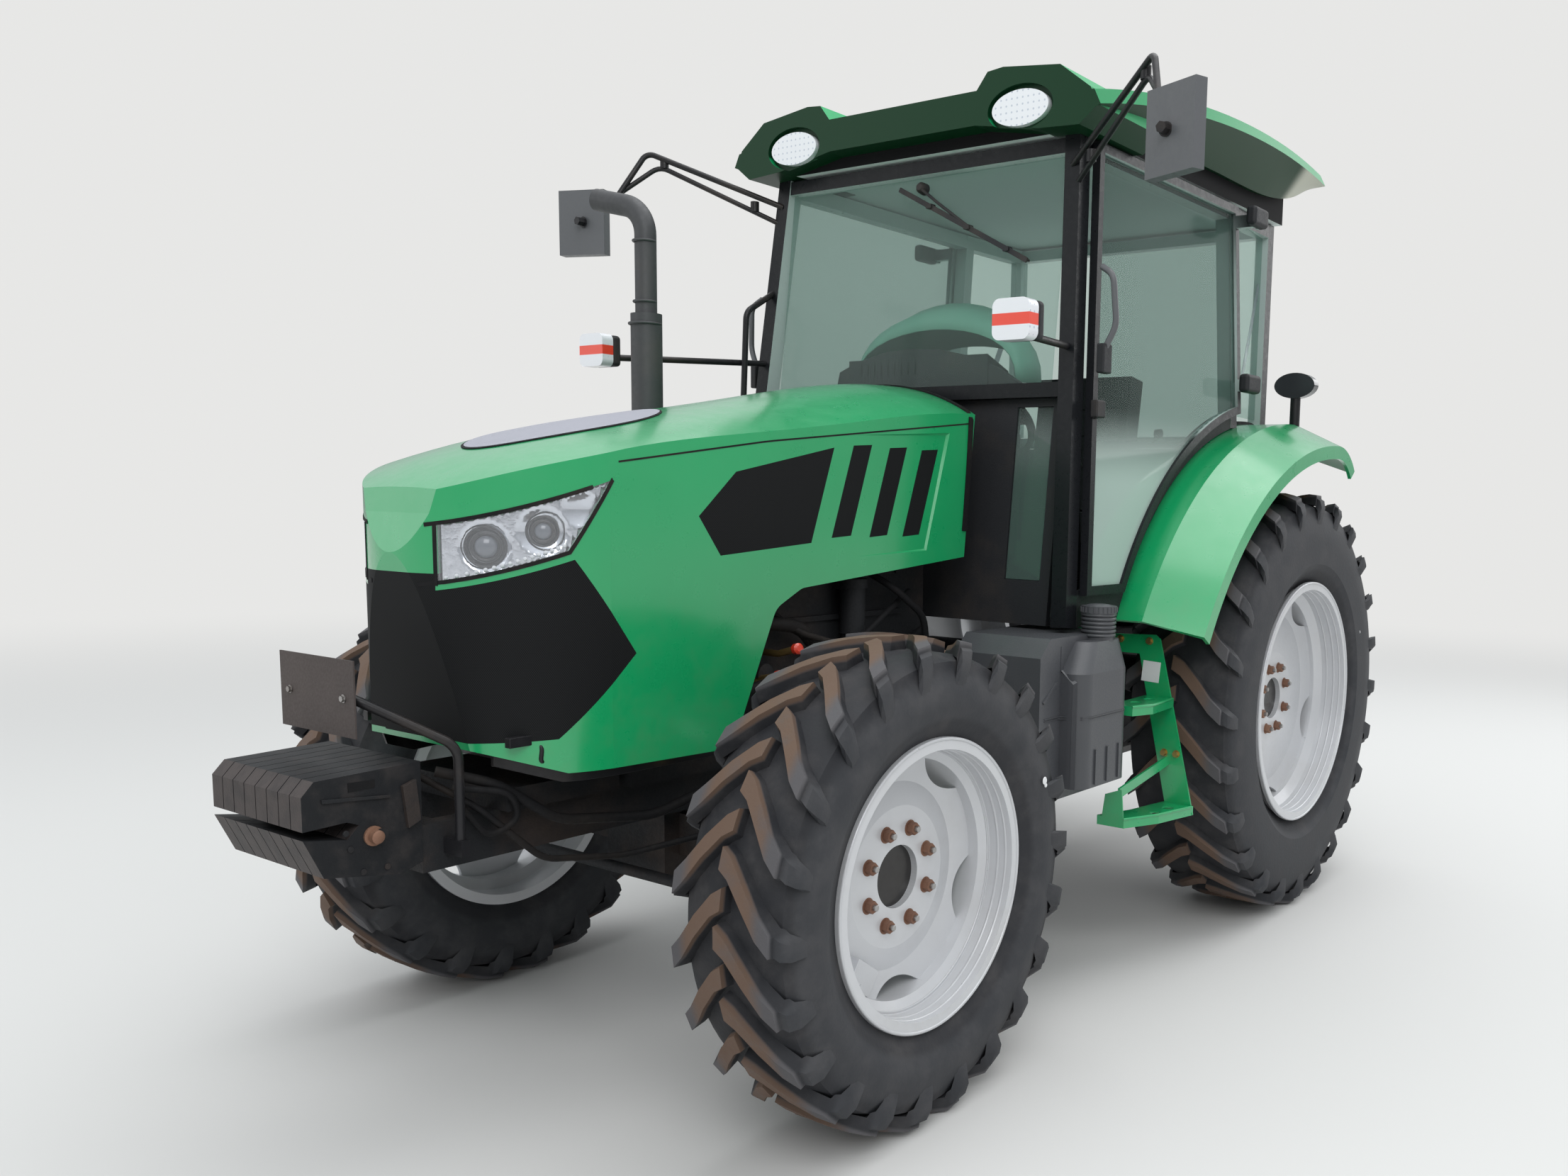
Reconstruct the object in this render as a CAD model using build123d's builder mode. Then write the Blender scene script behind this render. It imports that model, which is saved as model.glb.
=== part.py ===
"""Farm tractor with a closed cab, four driven wheels and a rear three-point hitch.

Millimetres. +X points forward, +Y to the left, +Z up. The ground is z = 0 and the
origin lies on it, under the middle of the whole machine.
"""
import os
from math import asin, cos, degrees, hypot, pi, sin, sqrt

from build123d import *

os.makedirs("parts", exist_ok=True)

# ---------------------------------------------------------------- driving sizes
# Stations along the machine, measured from the rear axle.
wheelbase = 2550
nose_reach = 3800            # rear axle to the front of the weights
hitch_reach = 1300           # rear axle back to the ends of the lower links
rear_axle_x = (hitch_reach - nose_reach) / 2
front_axle_x = rear_axle_x + wheelbase
nose_x = rear_axle_x + nose_reach
half_track = 915             # centre plane of each wheel from the middle

# Wheels
rear_tyre_r = 877.5
rear_tyre_width = 467
rear_rim_r = 508             # outside of the rim flange
rear_rim_width = 406
rear_disc_inset = 150        # outer rim plane in to the outside of the disc
front_tyre_r = 667
front_tyre_width = 372
front_rim_r = 403
front_rim_width = 302
front_disc_inset = 134
bead_gap = 0.5               # between rim and tyre where they meet
rim_wall = 12
lug_height = 38
hub_hole_r = 88
hub_r = 135
hub_length = 75
hub_end = 15                  # closed end of the hub's bore
spindle_gap = 10              # between a spindle's tip and that end
spindle_r = 60

# Front axle and steering
kingpin_y = 700
kingpin_r = 25
kingpin_boss_r = 62
kingpin_boss_height = 220
ear_thick = 40
steer_arm = 205              # kingpin to track rod pin, forwards
track_rod_r = 17
running_gap = 0.1            # radial gap of a pin or shaft in its bore
moving_gap = 8               # gap between neighbours that turn past each other

# Cab
sill_z = 1270
cab_top_z = 2950
sill_half_width = 800
top_half_width = 700
a_post_x = rear_axle_x + 1434     # foot of the front post
a_post_rake = 177                 # how far its top stands further back
b_post_x = rear_axle_x + 38       # door hinge post
c_post_x = rear_axle_x - 420      # rear corner post
c_post_half_width = 660
post_size = 60
pane = 8
floor_z = 1295
floor_thick = 30
wall = 25
waist_z = 2085                    # bottom of the windscreen
rear_waist_z = 1990
door_foot_z = 1375
door_lift = 60                    # gap between the door's arc and the fender
door_thick = 30
door_gap = 8
door_rail = 32
door_stand = 6                    # door's inner face outside the cab side
hinge_offset = 30                 # door hinge axis outside the cab side

# Hood
hood_back_x = rear_axle_x + 1500
hood_tip_x = nose_x - 355
hood_skin = 10
hood_half_width = 430
hood_hinge_x = rear_axle_x + 1530
hood_hinge_z = 2035

# Chassis
rail_y = 150
rail_wide = 50
rail_bottom_z = 700
rail_top_z = 880
engine_half_width = 255
gearbox_half_width = 220
axle_tube_r = 130

# Rear hitch
lift_pivot_x = rear_axle_x - 330
lift_pivot_z = 1090
lift_arm_length = 420
lift_rod_lean = 150
lift_rod_drop = 480
rockshaft_r = 35
lower_link_y = 256
lower_link_end_y = 400
link_ball_r = 40
link_bore_r = 14.5
hitch_pin_r = 14
lower_link_drop = 130             # how far the ball ends hang below the pivots

SIDES = {"left": 1, "right": -1}


def save(piece, node):
    """Label a finished piece and write its STEP file."""
    piece.part.label = node
    export_step(piece.part, f"parts/{node}.step")


def beam(start, end, wide, deep, across=(1, 0, 0), mode=Mode.ADD):
    """Straight rectangular member; wide is measured along the direction across."""
    run = Vector(*end) - Vector(*start)
    with BuildSketch(Plane(origin=start, x_dir=across, z_dir=run)) as section:
        Rectangle(wide, deep)
    extrude(section.sketch, amount=run.length, mode=mode)


def rod(start, end, radius, mode=Mode.ADD):
    """Straight round member."""
    run = Vector(*end) - Vector(*start)
    with BuildSketch(Plane(origin=start, z_dir=run)) as section:
        Circle(radius)
    extrude(section.sketch, amount=run.length, mode=mode)


def block(low, high, mode=Mode.ADD):
    """Box between two opposite corners."""
    size = [abs(b - a) for a, b in zip(low, high)]
    with Locations([tuple((a + b) / 2 for a, b in zip(low, high))]):
        Box(*size, mode=mode)


def bent_tube(points, radius, bend):
    """Round tube along straight runs joined by arcs of one bend radius."""
    with BuildLine() as route:
        FilletPolyline(*points, radius=bend)
    with BuildSketch(Plane(origin=route.line @ 0, z_dir=route.line % 0)) as section:
        Circle(radius)
    sweep(section.sketch, path=route.line)


def upright(outline, y_from, y_to, mode=Mode.ADD):
    """Plate with (x, z) corners, standing between two distances across the machine."""
    with BuildSketch(Plane.XZ.offset(-y_from)) as section:
        Polygon(*outline, align=None)
    extrude(section.sketch, amount=y_from - y_to, mode=mode)


def side_y(z):
    """Half width of the cab's leaning side at height z."""
    return sill_half_width - (sill_half_width - top_half_width) * (z - sill_z) / (cab_top_z - sill_z)


def post_y(z):
    """Middle of the posts, whose outer faces lie in the cab's side."""
    return side_y(z) - post_size / 2


def a_post_at(z):
    """Station of the raked front post at height z."""
    return a_post_x - a_post_rake * (z - sill_z) / (cab_top_z - sill_z)


# ---------------------------------------------------------------- wheels
WHEELS = {
    # end: (axle x, tyre radius, tyre width, rim radius, rim width, disc inset)
    "front": (front_axle_x, front_tyre_r, front_tyre_width, front_rim_r, front_rim_width,
              front_disc_inset),
    "rear": (rear_axle_x, rear_tyre_r, rear_tyre_width, rear_rim_r, rear_rim_width,
             rear_disc_inset),
}
LUGS = {
    # end: (lugs on each half of the tread, turn of a lug from the middle to the shoulder)
    "front": (22, -0.30),
    "rear": (24, -0.24),
}
lug_wide = 50
lug_root = 45                     # how deep a lug reaches into the carcass
lug_fall = 16                     # drop of a lug towards the shoulder
lug_end = 22                      # from the middle of a lug's end in from the tyre's wall
lug_relief = 2.4                  # keeps the corners of the flat tops on the tyre's radius
tyre_sides = 22                   # flat sides round the carcass
bead_depth = 22
well_depth = 70
scallops = 5                      # openings between the disc and the barrel
scallop_r = 150
scallop_centre = 105              # from the well out to the middle of a scallop's arc
hub_recess = 8


def lug_frames(centre, tyre_r, width, lugs, lean):
    """Planes on the tops of the lugs, and the length of a lug."""
    corner_r = sqrt((tyre_r - lug_relief) ** 2 - (lug_wide / 2) ** 2)
    first = -pi / 2 - lug_wide / 2 / tyre_r      # sets a lug on the ground under the axle
    frames = []
    half = width / 2
    for step in range(2 * lugs):
        side = 1 if step % 2 == 0 else -1
        inner_turn = first + pi * step / lugs
        ends = []
        for y, turn, r in ((-0.04 * half, inner_turn, corner_r),
                           (half - lug_end, inner_turn + lean, corner_r - lug_fall)):
            ends.append(Vector(r * cos(turn), side * y, r * sin(turn)))
        middle = (ends[0] + ends[1]) / 2
        run = ends[1] - ends[0]
        out = Vector(middle.X, 0, middle.Z)
        out -= run * (out.dot(run) / run.dot(run))
        frames.append(Plane(origin=Vector(*centre) + middle, x_dir=run, z_dir=out))
    return frames, run.length


def lugged_tyre(centre, tyre_r, width, rim_r, rim_width, lugs, lean):
    """Flat-sided carcass from bead to bead, bored for the rim, with its bar lugs."""
    seat = rim_width / 2 - rim_wall - bead_gap
    tread_r = tyre_r - lug_height
    half_rings = [(seat, rim_r + 4), (width / 2, (rim_r + tread_r) / 2), (width * 0.49, tread_r - 14)]
    rings = [(-y, r) for y, r in half_rings] + list(reversed(half_rings))
    frames, lug_length = lug_frames(centre, tyre_r, width, lugs, lean)
    square = Plane(origin=centre, x_dir=(1, 0, 0), z_dir=(0, 1, 0))
    with BuildPart() as tyre:
        for y, r in rings:
            with BuildSketch(square.offset(y)):
                RegularPolygon(r, tyre_sides, major_radius=False)
        loft(ruled=True)
        with BuildSketch(*frames):
            Rectangle(lug_length, lug_wide)
        extrude(amount=-(lug_height + lug_root))
        with BuildSketch(square.offset(-width / 2)):
            RegularPolygon(rim_r - bead_depth + bead_gap, tyre_sides, major_radius=False)
        extrude(amount=width, mode=Mode.SUBTRACT)
    return tyre


def rim_outline(rim_r, rim_width, disc_inset):
    """Half section of the rim barrel with its flanges and well, and of the dished disc."""
    half = rim_width / 2
    bead = rim_r - bead_depth
    well = rim_r - well_depth
    right = [(half * 0.3, well + rim_wall), (half * 0.45, bead - 4), (half - rim_wall, bead),
             (half - rim_wall, rim_r), (half, rim_r), (half, bead - rim_wall),
             (half * 0.5, bead - 4 - rim_wall), (half * 0.36, well)]
    left = [(-x, r) for x, r in reversed(right)]
    Polygon(*right, *left, align=None)
    disc = half - disc_inset
    Polygon(
        (disc, hub_hole_r), (disc, hub_hole_r + 110), (disc - 16, well - 70),
        (disc + 4, well + 2), (disc - 10, well + 2), (disc - 30, well - 66),
        (disc - rim_wall, hub_hole_r + 104), (disc - rim_wall, hub_hole_r), align=None,
    )


def disc_out(end):
    """Distance of a wheel's disc from the middle of the machine."""
    rim_width, disc_inset = WHEELS[end][4:]
    return half_track + rim_width / 2 - disc_inset


for end, (axle_x, tyre_r, tyre_width, rim_r, rim_width, disc_inset) in WHEELS.items():
    for name, side in SIDES.items():
        centre = (axle_x, side * half_track, tyre_r)
        section = Plane(origin=centre, x_dir=(0, side, 0), z_dir=(side, 0, 0))
        tyre = lugged_tyre(centre, tyre_r, tyre_width, rim_r, rim_width, *LUGS[end])
        save(tyre, f"{end}_tyre_{name}")

        face = disc_out(end) - rim_wall
        with BuildPart() as rim:
            with BuildSketch(section):
                rim_outline(rim_r, rim_width, disc_inset)
            revolve(axis=Axis(centre, (0, 1, 0)))
            inner = (axle_x, side * (face - hub_length), tyre_r)
            rod(inner, (axle_x, side * face, tyre_r), hub_r)
            rod(inner, (axle_x, side * (face - hub_end), tyre_r), spindle_r + running_gap,
                mode=Mode.SUBTRACT)
            rod((axle_x, side * (face - hub_recess), tyre_r), (axle_x, side * face, tyre_r),
                hub_hole_r, mode=Mode.SUBTRACT)
            well = rim_r - well_depth
            with BuildSketch(Plane(origin=(axle_x, side * (face - 60), tyre_r), x_dir=(1, 0, 0),
                                   z_dir=(0, side, 0))) as openings:
                Circle(well + 0.5)
                with PolarLocations(well + scallop_centre, scallops, start_angle=90):
                    Circle(scallop_r, mode=Mode.INTERSECT)
            extrude(openings.sketch, amount=60 + rim_wall + 20, mode=Mode.SUBTRACT)
        save(rim, f"{end}_rim_{name}")

hub_reach = hub_length - hub_end - spindle_gap   # how far a spindle stands in its hub

# ---------------------------------------------------------------- front axle and steering
axle_z = front_tyre_r
beam_height = 130
beam_deep = 120
front_hub_in = disc_out("front") - rim_wall - hub_length      # inner face of the front hub
ear_z = kingpin_boss_height / 2 + moving_gap
ear_reach = 66                                                 # half length of an ear along X
yoke_y = kingpin_y + kingpin_boss_r + moving_gap               # back plate of the yoke

with BuildPart() as front_axle:
    beam((front_axle_x, -kingpin_y, axle_z), (front_axle_x, kingpin_y, axle_z), beam_deep,
         beam_height)
    block((front_axle_x - 120, -130, axle_z - 140), (front_axle_x + 120, 130, rail_bottom_z + 50))
    for side in SIDES.values():
        base = (front_axle_x, side * kingpin_y)
        rod((*base, axle_z - kingpin_boss_height / 2), (*base, axle_z + kingpin_boss_height / 2),
            kingpin_boss_r)
        rod((*base, axle_z - ear_z - ear_thick), (*base, axle_z + ear_z + ear_thick), kingpin_r)
    # pivot block under the front support
    block((front_axle_x - 120, -60, axle_z), (front_axle_x + 120, 60, rail_bottom_z + 60))
save(front_axle, "front_axle")

for name, side in SIDES.items():
    with BuildPart() as knuckle:
        for end_z in (-1, 1):
            z = axle_z + end_z * (ear_z + ear_thick / 2)
            with Locations((front_axle_x, side * (kingpin_y + yoke_y) / 2, z)):
                Box(2 * ear_reach, yoke_y - kingpin_y, ear_thick)
            with Locations((front_axle_x, side * kingpin_y, z)):
                Cylinder(ear_reach, ear_thick)
        # back plate between the ears, and the spindle into the hub
        block((front_axle_x - ear_reach, side * yoke_y, axle_z - ear_z - ear_thick),
              (front_axle_x + ear_reach, side * (front_hub_in - 2), axle_z + ear_z + ear_thick))
        rod((front_axle_x, side * yoke_y, axle_z),
            (front_axle_x, side * (front_hub_in + hub_reach), axle_z), spindle_r)
        # steering arm forwards from the lower ear
        arm_z = axle_z - ear_z - ear_thick / 2
        beam((front_axle_x, side * kingpin_y, arm_z),
             (front_axle_x + steer_arm, side * kingpin_y, arm_z), 50, ear_thick, across=(0, 1, 0))
        with Locations((front_axle_x + steer_arm, side * kingpin_y, arm_z)):
            Cylinder(32, ear_thick)
        rod((front_axle_x + steer_arm, side * kingpin_y, arm_z),
            (front_axle_x + steer_arm, side * kingpin_y, arm_z + 62), 11)
        rod((front_axle_x, side * kingpin_y, axle_z - ear_z - ear_thick - 1),
            (front_axle_x, side * kingpin_y, axle_z + ear_z + ear_thick + 1),
            kingpin_r + running_gap, mode=Mode.SUBTRACT)
    save(knuckle, f"knuckle_{name}")

rod_z = axle_z - ear_z + 26
with BuildPart() as track_rod:
    ends = [(front_axle_x + steer_arm, side * kingpin_y, rod_z) for side in SIDES.values()]
    rod(ends[0], ends[1], track_rod_r)
    for point in ends:
        with Locations(point):
            Cylinder(26, 36)
            Cylinder(11 + 2, 60, mode=Mode.SUBTRACT)
save(track_rod, "track_rod")

# ---------------------------------------------------------------- chassis
weight_depth = 294
weights_back_x = nose_x - weight_depth
engine_front_x = rear_axle_x + 2900
engine_back_x = rear_axle_x + 1560
engine_top_z = 1560
radiator_x = rear_axle_x + 2960
radiator_thick = 120

with BuildPart() as front_support:
    for side in SIDES.values():
        block((engine_back_x, side * rail_y, rail_bottom_z + 60),
              (weights_back_x - 20, side * (rail_y + rail_wide), rail_top_z))
    # cross pieces: behind the weights, over the axle and at the engine mount
    for low, high in ((weights_back_x - 60, weights_back_x), (front_axle_x - 130, front_axle_x + 130),
                      (engine_back_x, engine_back_x + 80)):
        block((low, -rail_y - rail_wide, rail_bottom_z + 60), (high, rail_y + rail_wide, rail_top_z))
    # shelf that carries the radiator and the nose
    block((radiator_x - 30, -240, rail_top_z), (radiator_x + 330, 240, rail_top_z + 60))
save(front_support, "front_support")

with BuildPart() as engine_block:
    block((engine_back_x, -engine_half_width, rail_top_z),
          (engine_front_x, engine_half_width, engine_top_z))
save(engine_block, "engine_block")

with BuildPart() as radiator:
    block((radiator_x, -300, rail_top_z + 60), (radiator_x + radiator_thick, 300, engine_top_z + 20))
save(radiator, "radiator")

filter_x = rear_axle_x + 2010
with BuildPart() as fuel_filter:
    with Locations((filter_x, engine_half_width + 50, 1330)):
        Cylinder(42, 150)
    with Locations((filter_x, engine_half_width + 50, 1420)):
        Cylinder(50, 30)
    block((filter_x - 45, engine_half_width, 1400), (filter_x + 45, engine_half_width + 60, 1440))
save(fuel_filter, "fuel_filter")

gearbox_top_z = 1060
case_back_x = rear_axle_x - 230   # rear axle's housing
case_front_x = rear_axle_x + 250
rear_hub_in = disc_out("rear") - rim_wall - hub_length
with BuildPart() as transmission:
    block((case_front_x, -gearbox_half_width, 620),
          (engine_back_x, gearbox_half_width, gearbox_top_z))
    block((case_back_x, -gearbox_half_width, 560),
          (case_front_x, gearbox_half_width, gearbox_top_z + 60))
    # lift housing behind, bored for the rockshaft
    block((lift_pivot_x - 80, -190, 940), (case_back_x, 190, lift_pivot_z + 80))
    rod((lift_pivot_x, -250, lift_pivot_z), (lift_pivot_x, 250, lift_pivot_z), rockshaft_r + running_gap,
        mode=Mode.SUBTRACT)
    for reach, radius in ((-moving_gap, axle_tube_r), (hub_reach, spindle_r)):
        rod((rear_axle_x, -rear_hub_in - reach, rear_tyre_r),
            (rear_axle_x, rear_hub_in + reach, rear_tyre_r), radius)
    # pins of the lower links
    link_z = lift_pivot_z - lift_rod_drop
    rod((lift_pivot_x + lift_rod_lean, -lower_link_y - 24, link_z),
        (lift_pivot_x + lift_rod_lean, lower_link_y + 24, link_z), hitch_pin_r)
    # shaft to the front axle
    rod((rear_axle_x + 1200, 0, axle_z), (front_axle_x - 135, 0, axle_z), 45)
save(transmission, "transmission")

pto_z = 680
pto_end_x = rear_axle_x - 330
with BuildPart() as pto_shaft:
    rod((case_back_x, 0, pto_z), (pto_end_x, 0, pto_z), 17.5)
save(pto_shaft, "pto_shaft")

drawbar_z = 480
drawbar_pin_x = pto_end_x - 400   # the standard distance behind the shaft's end
drawbar_half = 45
with BuildPart() as drawbar:
    block((drawbar_pin_x - 50, -drawbar_half, drawbar_z - 20),
          (rear_axle_x + 150, drawbar_half, drawbar_z + 20))
    block((rear_axle_x - 200, -2 * drawbar_half, drawbar_z + 20),
          (rear_axle_x + 100, 2 * drawbar_half, 560))
    with Locations((drawbar_pin_x, 0, drawbar_z)):
        Cylinder(16.5, 60, mode=Mode.SUBTRACT)
save(drawbar, "drawbar")

# ---------------------------------------------------------------- weights and plate
weight_count = 8
weight_half_width = 204
weight_gap = 3
weight_thick = (2 * weight_half_width - weight_gap * (weight_count - 1)) / weight_count
weight_top_z = 1042
weight_bottom_z = 773
slit_z = 914
weight_outline = [
    (weights_back_x, weight_bottom_z + 20), (weights_back_x + 60, weight_bottom_z),
    (nose_x - 45, weight_bottom_z + 32), (nose_x, slit_z - 12), (weights_back_x + 190, slit_z - 30),
    (weights_back_x + 160, slit_z), (weights_back_x + 190, slit_z + 12), (nose_x, slit_z + 8),
    (nose_x, weight_top_z - 40), (nose_x - 30, weight_top_z - 8), (weights_back_x, weight_top_z),
]
with BuildPart() as front_weights:
    for number in range(weight_count):
        left_edge = weight_half_width - number * (weight_thick + weight_gap)
        upright(weight_outline, left_edge - weight_thick, left_edge)
    rod((weights_back_x + 110, -weight_half_width - 12, slit_z - 30),
        (weights_back_x + 110, weight_half_width + 12, slit_z - 30), 14)
save(front_weights, "front_weights")

plate_x = nose_x - 160
plate_z = 1203
with BuildPart() as number_plate:
    block((plate_x, -165, plate_z - 93), (plate_x + 4, 165, plate_z + 93))
save(number_plate, "number_plate")

bracket_y = 255
with BuildPart() as plate_bracket:
    bent_tube([(plate_x - 12, -120, plate_z), (plate_x - 12, 120, plate_z),
               (weights_back_x - 70, bracket_y, 1075), (weights_back_x - 70, bracket_y, 830)], 12, 60)
    block((weights_back_x - 82, rail_y + rail_wide, 800), (weights_back_x - 58, bracket_y + 20, 840))
save(plate_bracket, "plate_bracket")

# ---------------------------------------------------------------- hood
arch_x = front_axle_x - 120
arch_bend = 70
nose_shoulder_x = hood_tip_x - 365      # where the sides start to round in
nose_shoulder_y = hood_half_width - 30
hood_low = 700                          # below every edge of the hood
hood_high = 2400
hood_side = [
    # (x, z) outline of the edges seen from the side, from the rear foot round
    (hood_back_x + 50, 1500), (arch_x - 60, 1425), (arch_x + 50, 1370), (front_axle_x + 104, 976),
    (hood_tip_x - 245, 985), (hood_tip_x - 65, 1050), (hood_tip_x, 1540), (hood_tip_x - 25, 1640),
    (hood_tip_x - 130, hood_high), (hood_back_x - 40, hood_high), (hood_back_x - 40, 2095),
    (hood_back_x, 1990),
]
hood_crown = [
    # (x, height at the side creases, height in the middle)
    (hood_back_x - 60, 1992, 2100), (arch_x + 80, 1876, 1962), (hood_tip_x - 376, 1796, 1850),
    (hood_tip_x - 145, 1726, 1765), (hood_tip_x + 30, 1635, 1660),
]


def hood_form(inset=0):
    """Closed form of the hood down to the ground, drawn in by a distance."""
    half = hood_half_width - inset
    with BuildPart() as form:
        for x, crease, middle in hood_crown:
            with BuildSketch(Plane(origin=(x, 0, 0), x_dir=(0, 1, 0), z_dir=(1, 0, 0))):
                with BuildLine():
                    arc = ThreePointArc((-half, crease - inset), (0, middle - inset),
                                        (half, crease - inset))
                    Polyline(arc @ 1, (half, hood_low), (-half, hood_low), arc @ 0)
                make_face()
        loft()
        with BuildSketch(Plane.XY.offset(hood_low)):
            with BuildLine():
                right_in, left_in = [(nose_shoulder_x, side * (nose_shoulder_y - inset))
                                     for side in (-1, 1)]
                rear_x = hood_back_x - 200
                Line((rear_x, -half), right_in)
                ThreePointArc(right_in, (hood_tip_x - inset, 0), left_in)
                Polyline(left_in, (rear_x, half), (rear_x, -half))
            make_face()
        extrude(amount=hood_high - hood_low, mode=Mode.INTERSECT)
    return form.part


# Openings in the skin, as (x, z) outlines.
past_nose_x = hood_tip_x + 155
lamp_in_y = 150
vent_in_y = 300
half_beyond = hood_half_width + 50
grille_outline = [
    (hood_tip_x - 270, 1530), (hood_tip_x - 445, 1280), (hood_tip_x - 225, 1075), (past_nose_x, 1060),
    (past_nose_x, 1390),
]
grille_middle = [
    (hood_tip_x - 120, 1066), (past_nose_x, 1060), (past_nose_x, 1492), (hood_tip_x - 120, 1492),
]
lamp_outline = [
    (hood_tip_x - 375, 1732), (hood_tip_x - 258, 1548), (past_nose_x, 1405), (past_nose_x, 1535),
    (hood_tip_x - 20, 1612),
]


def along_hood(outline):
    """Outline with stations as shares of the hood's length from its rear edge, in mm."""
    return [(hood_back_x + share * (hood_tip_x - hood_back_x), z) for share, z in outline]


slat_shares = (0.329, 0.2365, 0.149)    # front top corners
slat_wide = 90
vent_outlines = [
    # the large mesh panel, then the slanted slats
    along_hood([(0.658, 1640), (0.586, 1765), (0.375, 1850), (0.427, 1560), (0.617, 1530)]),
]
for share in slat_shares:
    (top_x, top_z), (foot_x, foot_z) = along_hood([(share, 1860), (share + 0.0514, 1574)])
    vent_outlines.append([(top_x, top_z), (top_x - slat_wide, top_z + 6),
                          (foot_x - slat_wide, foot_z + 6), (foot_x, foot_z)])
# Shallow dents pressed into the sides: (depth, outline).
side_dents = [
    (14, along_hood([(0.688, 1640), (0.6005, 1806), (0.411, 1884), (0.0797, 1916), (0.1388, 1532),
                     (0.628, 1484)])),
    (7, along_hood([(0.838, 1105), (0.694, 1235), (0.617, 1250), (0.663, 1060), (0.828, 1052)])),
]


def skin_openings(outlines, mode):
    """Prisms through the hood's skin on both sides, from one distance out to another."""
    for outline, near, far in outlines:
        for side in SIDES.values():
            upright(outline, side * near, side * far, mode=mode)


def dent(outline, depth, grow, mode):
    """Pocket with sloping edges pressed into both sides; grow widens and deepens it."""
    floor_y = hood_half_width - depth - grow
    for side in SIDES.values():
        with BuildSketch(Plane.XZ.offset(-side * floor_y)) as pocket:
            Polygon(*outline, align=None)
            if grow:
                offset(amount=grow, kind=Kind.INTERSECTION)
        extrude(pocket.sketch, amount=-side * (depth + grow + 20), taper=-45, mode=mode)


grille_cut = [(grille_outline, lamp_in_y, half_beyond), (grille_middle, 0, lamp_in_y)]
lamp_cut = [(lamp_outline, lamp_in_y, half_beyond)]
vent_cut = [(outline, vent_in_y, half_beyond) for outline in vent_outlines]
with BuildPart() as hood_body:
    add(hood_form())
    with BuildSketch(Plane.XZ) as edges_seen:
        Polygon(*hood_side, align=None)
        for corner in (hood_side[1], hood_side[2]):
            fillet(edges_seen.vertices().sort_by_distance((corner[0], corner[1]))[0], arch_bend)
    extrude(edges_seen.sketch, amount=half_beyond, both=True, mode=Mode.INTERSECT)
    for depth, outline in side_dents:
        dent(outline, depth, 0, Mode.SUBTRACT)
with BuildPart() as hood_hollow:
    add(hood_form(hood_skin))
    nose_in = [(x - hood_skin, z) for x, z in hood_side[5:9]]
    open_x = hood_back_x - 190
    upright([(open_x, hood_low), (nose_in[0][0], hood_low), *nose_in, (open_x, hood_high)],
            -half_beyond, half_beyond, mode=Mode.INTERSECT)
    for depth, outline in side_dents:
        dent(outline, depth, hood_skin, Mode.SUBTRACT)

with BuildPart() as hood_shell:
    add(hood_body.part)
    add(hood_hollow.part, mode=Mode.SUBTRACT)
    skin_openings(grille_cut + lamp_cut + vent_cut, Mode.SUBTRACT)
    # hinge barrels under the rear of the crown
    for side in SIDES.values():
        rod((hood_hinge_x, side * 240, hood_hinge_z),
            (hood_hinge_x, side * 300, hood_hinge_z), 10)
save(hood_shell, "hood_shell")

top_mesh_x = hood_tip_x - 545
top_mesh_size = (300, 190)              # half length and half width of the oval
top_mesh_proud = 4
with BuildPart() as top_mesh:
    add(hood_form(-top_mesh_proud))
    add(hood_form(), mode=Mode.SUBTRACT)
    with BuildSketch(Plane.XY.offset(hood_low)) as oval:
        with Locations((top_mesh_x, 0)):
            Ellipse(*top_mesh_size)
    extrude(oval.sketch, amount=hood_high - hood_low, mode=Mode.INTERSECT)
with BuildPart() as grilles:
    add(hood_body.part)
    add(hood_hollow.part, mode=Mode.SUBTRACT)
    with BuildPart(mode=Mode.PRIVATE) as mesh_cutter:
        skin_openings(grille_cut + vent_cut, Mode.ADD)
    add(mesh_cutter.part, mode=Mode.INTERSECT)
    add(top_mesh.part)
save(grilles, "grilles")

lamp_thick = 60
with BuildPart() as lamp_cutter:
    skin_openings(lamp_cut, Mode.ADD)
with BuildPart() as headlights:
    add(hood_body.part)
    add(hood_form(lamp_thick), mode=Mode.SUBTRACT)
    add(lamp_cutter.part, mode=Mode.INTERSECT)
save(headlights, "headlights")

# ---------------------------------------------------------------- fenders
# The outline is an arc from the foot to the crown and a tighter one down to the tail.
fender_x = rear_axle_x - 274      # under the crown
fender_r = 1600
fender_crown_z = 2055
fender_foot_z = 1275
fender_z = fender_crown_z - fender_r
fender_foot_x = fender_x + sqrt(fender_r ** 2 - (fender_foot_z - fender_z) ** 2)
tail_r = 360
tail_turn = 52                    # degrees the tail falls away behind the crown
fender_in_y = 640
shoulder_y = 900
fender_out_y = 1110
shoulder_drop = 95
fender_thick = 14
fender_lip = 55


def arch_z(x, inset=0):
    """Height of the fender's arc at a station, or of a line inset below it."""
    return fender_z + sqrt((fender_r - inset) ** 2 - (x - fender_x) ** 2)


def fender_section(radius):
    """Section of a fender as (distance out, radius) corners."""
    low = radius - shoulder_drop
    Polygon(
        (fender_in_y, radius), (shoulder_y, radius), (fender_out_y, low),
        (fender_out_y, low - fender_lip), (fender_out_y - fender_thick, low - fender_lip),
        (fender_out_y - fender_thick, low - fender_thick), (shoulder_y, radius - fender_thick),
        (fender_in_y, radius - fender_thick), align=None,
    )


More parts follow.
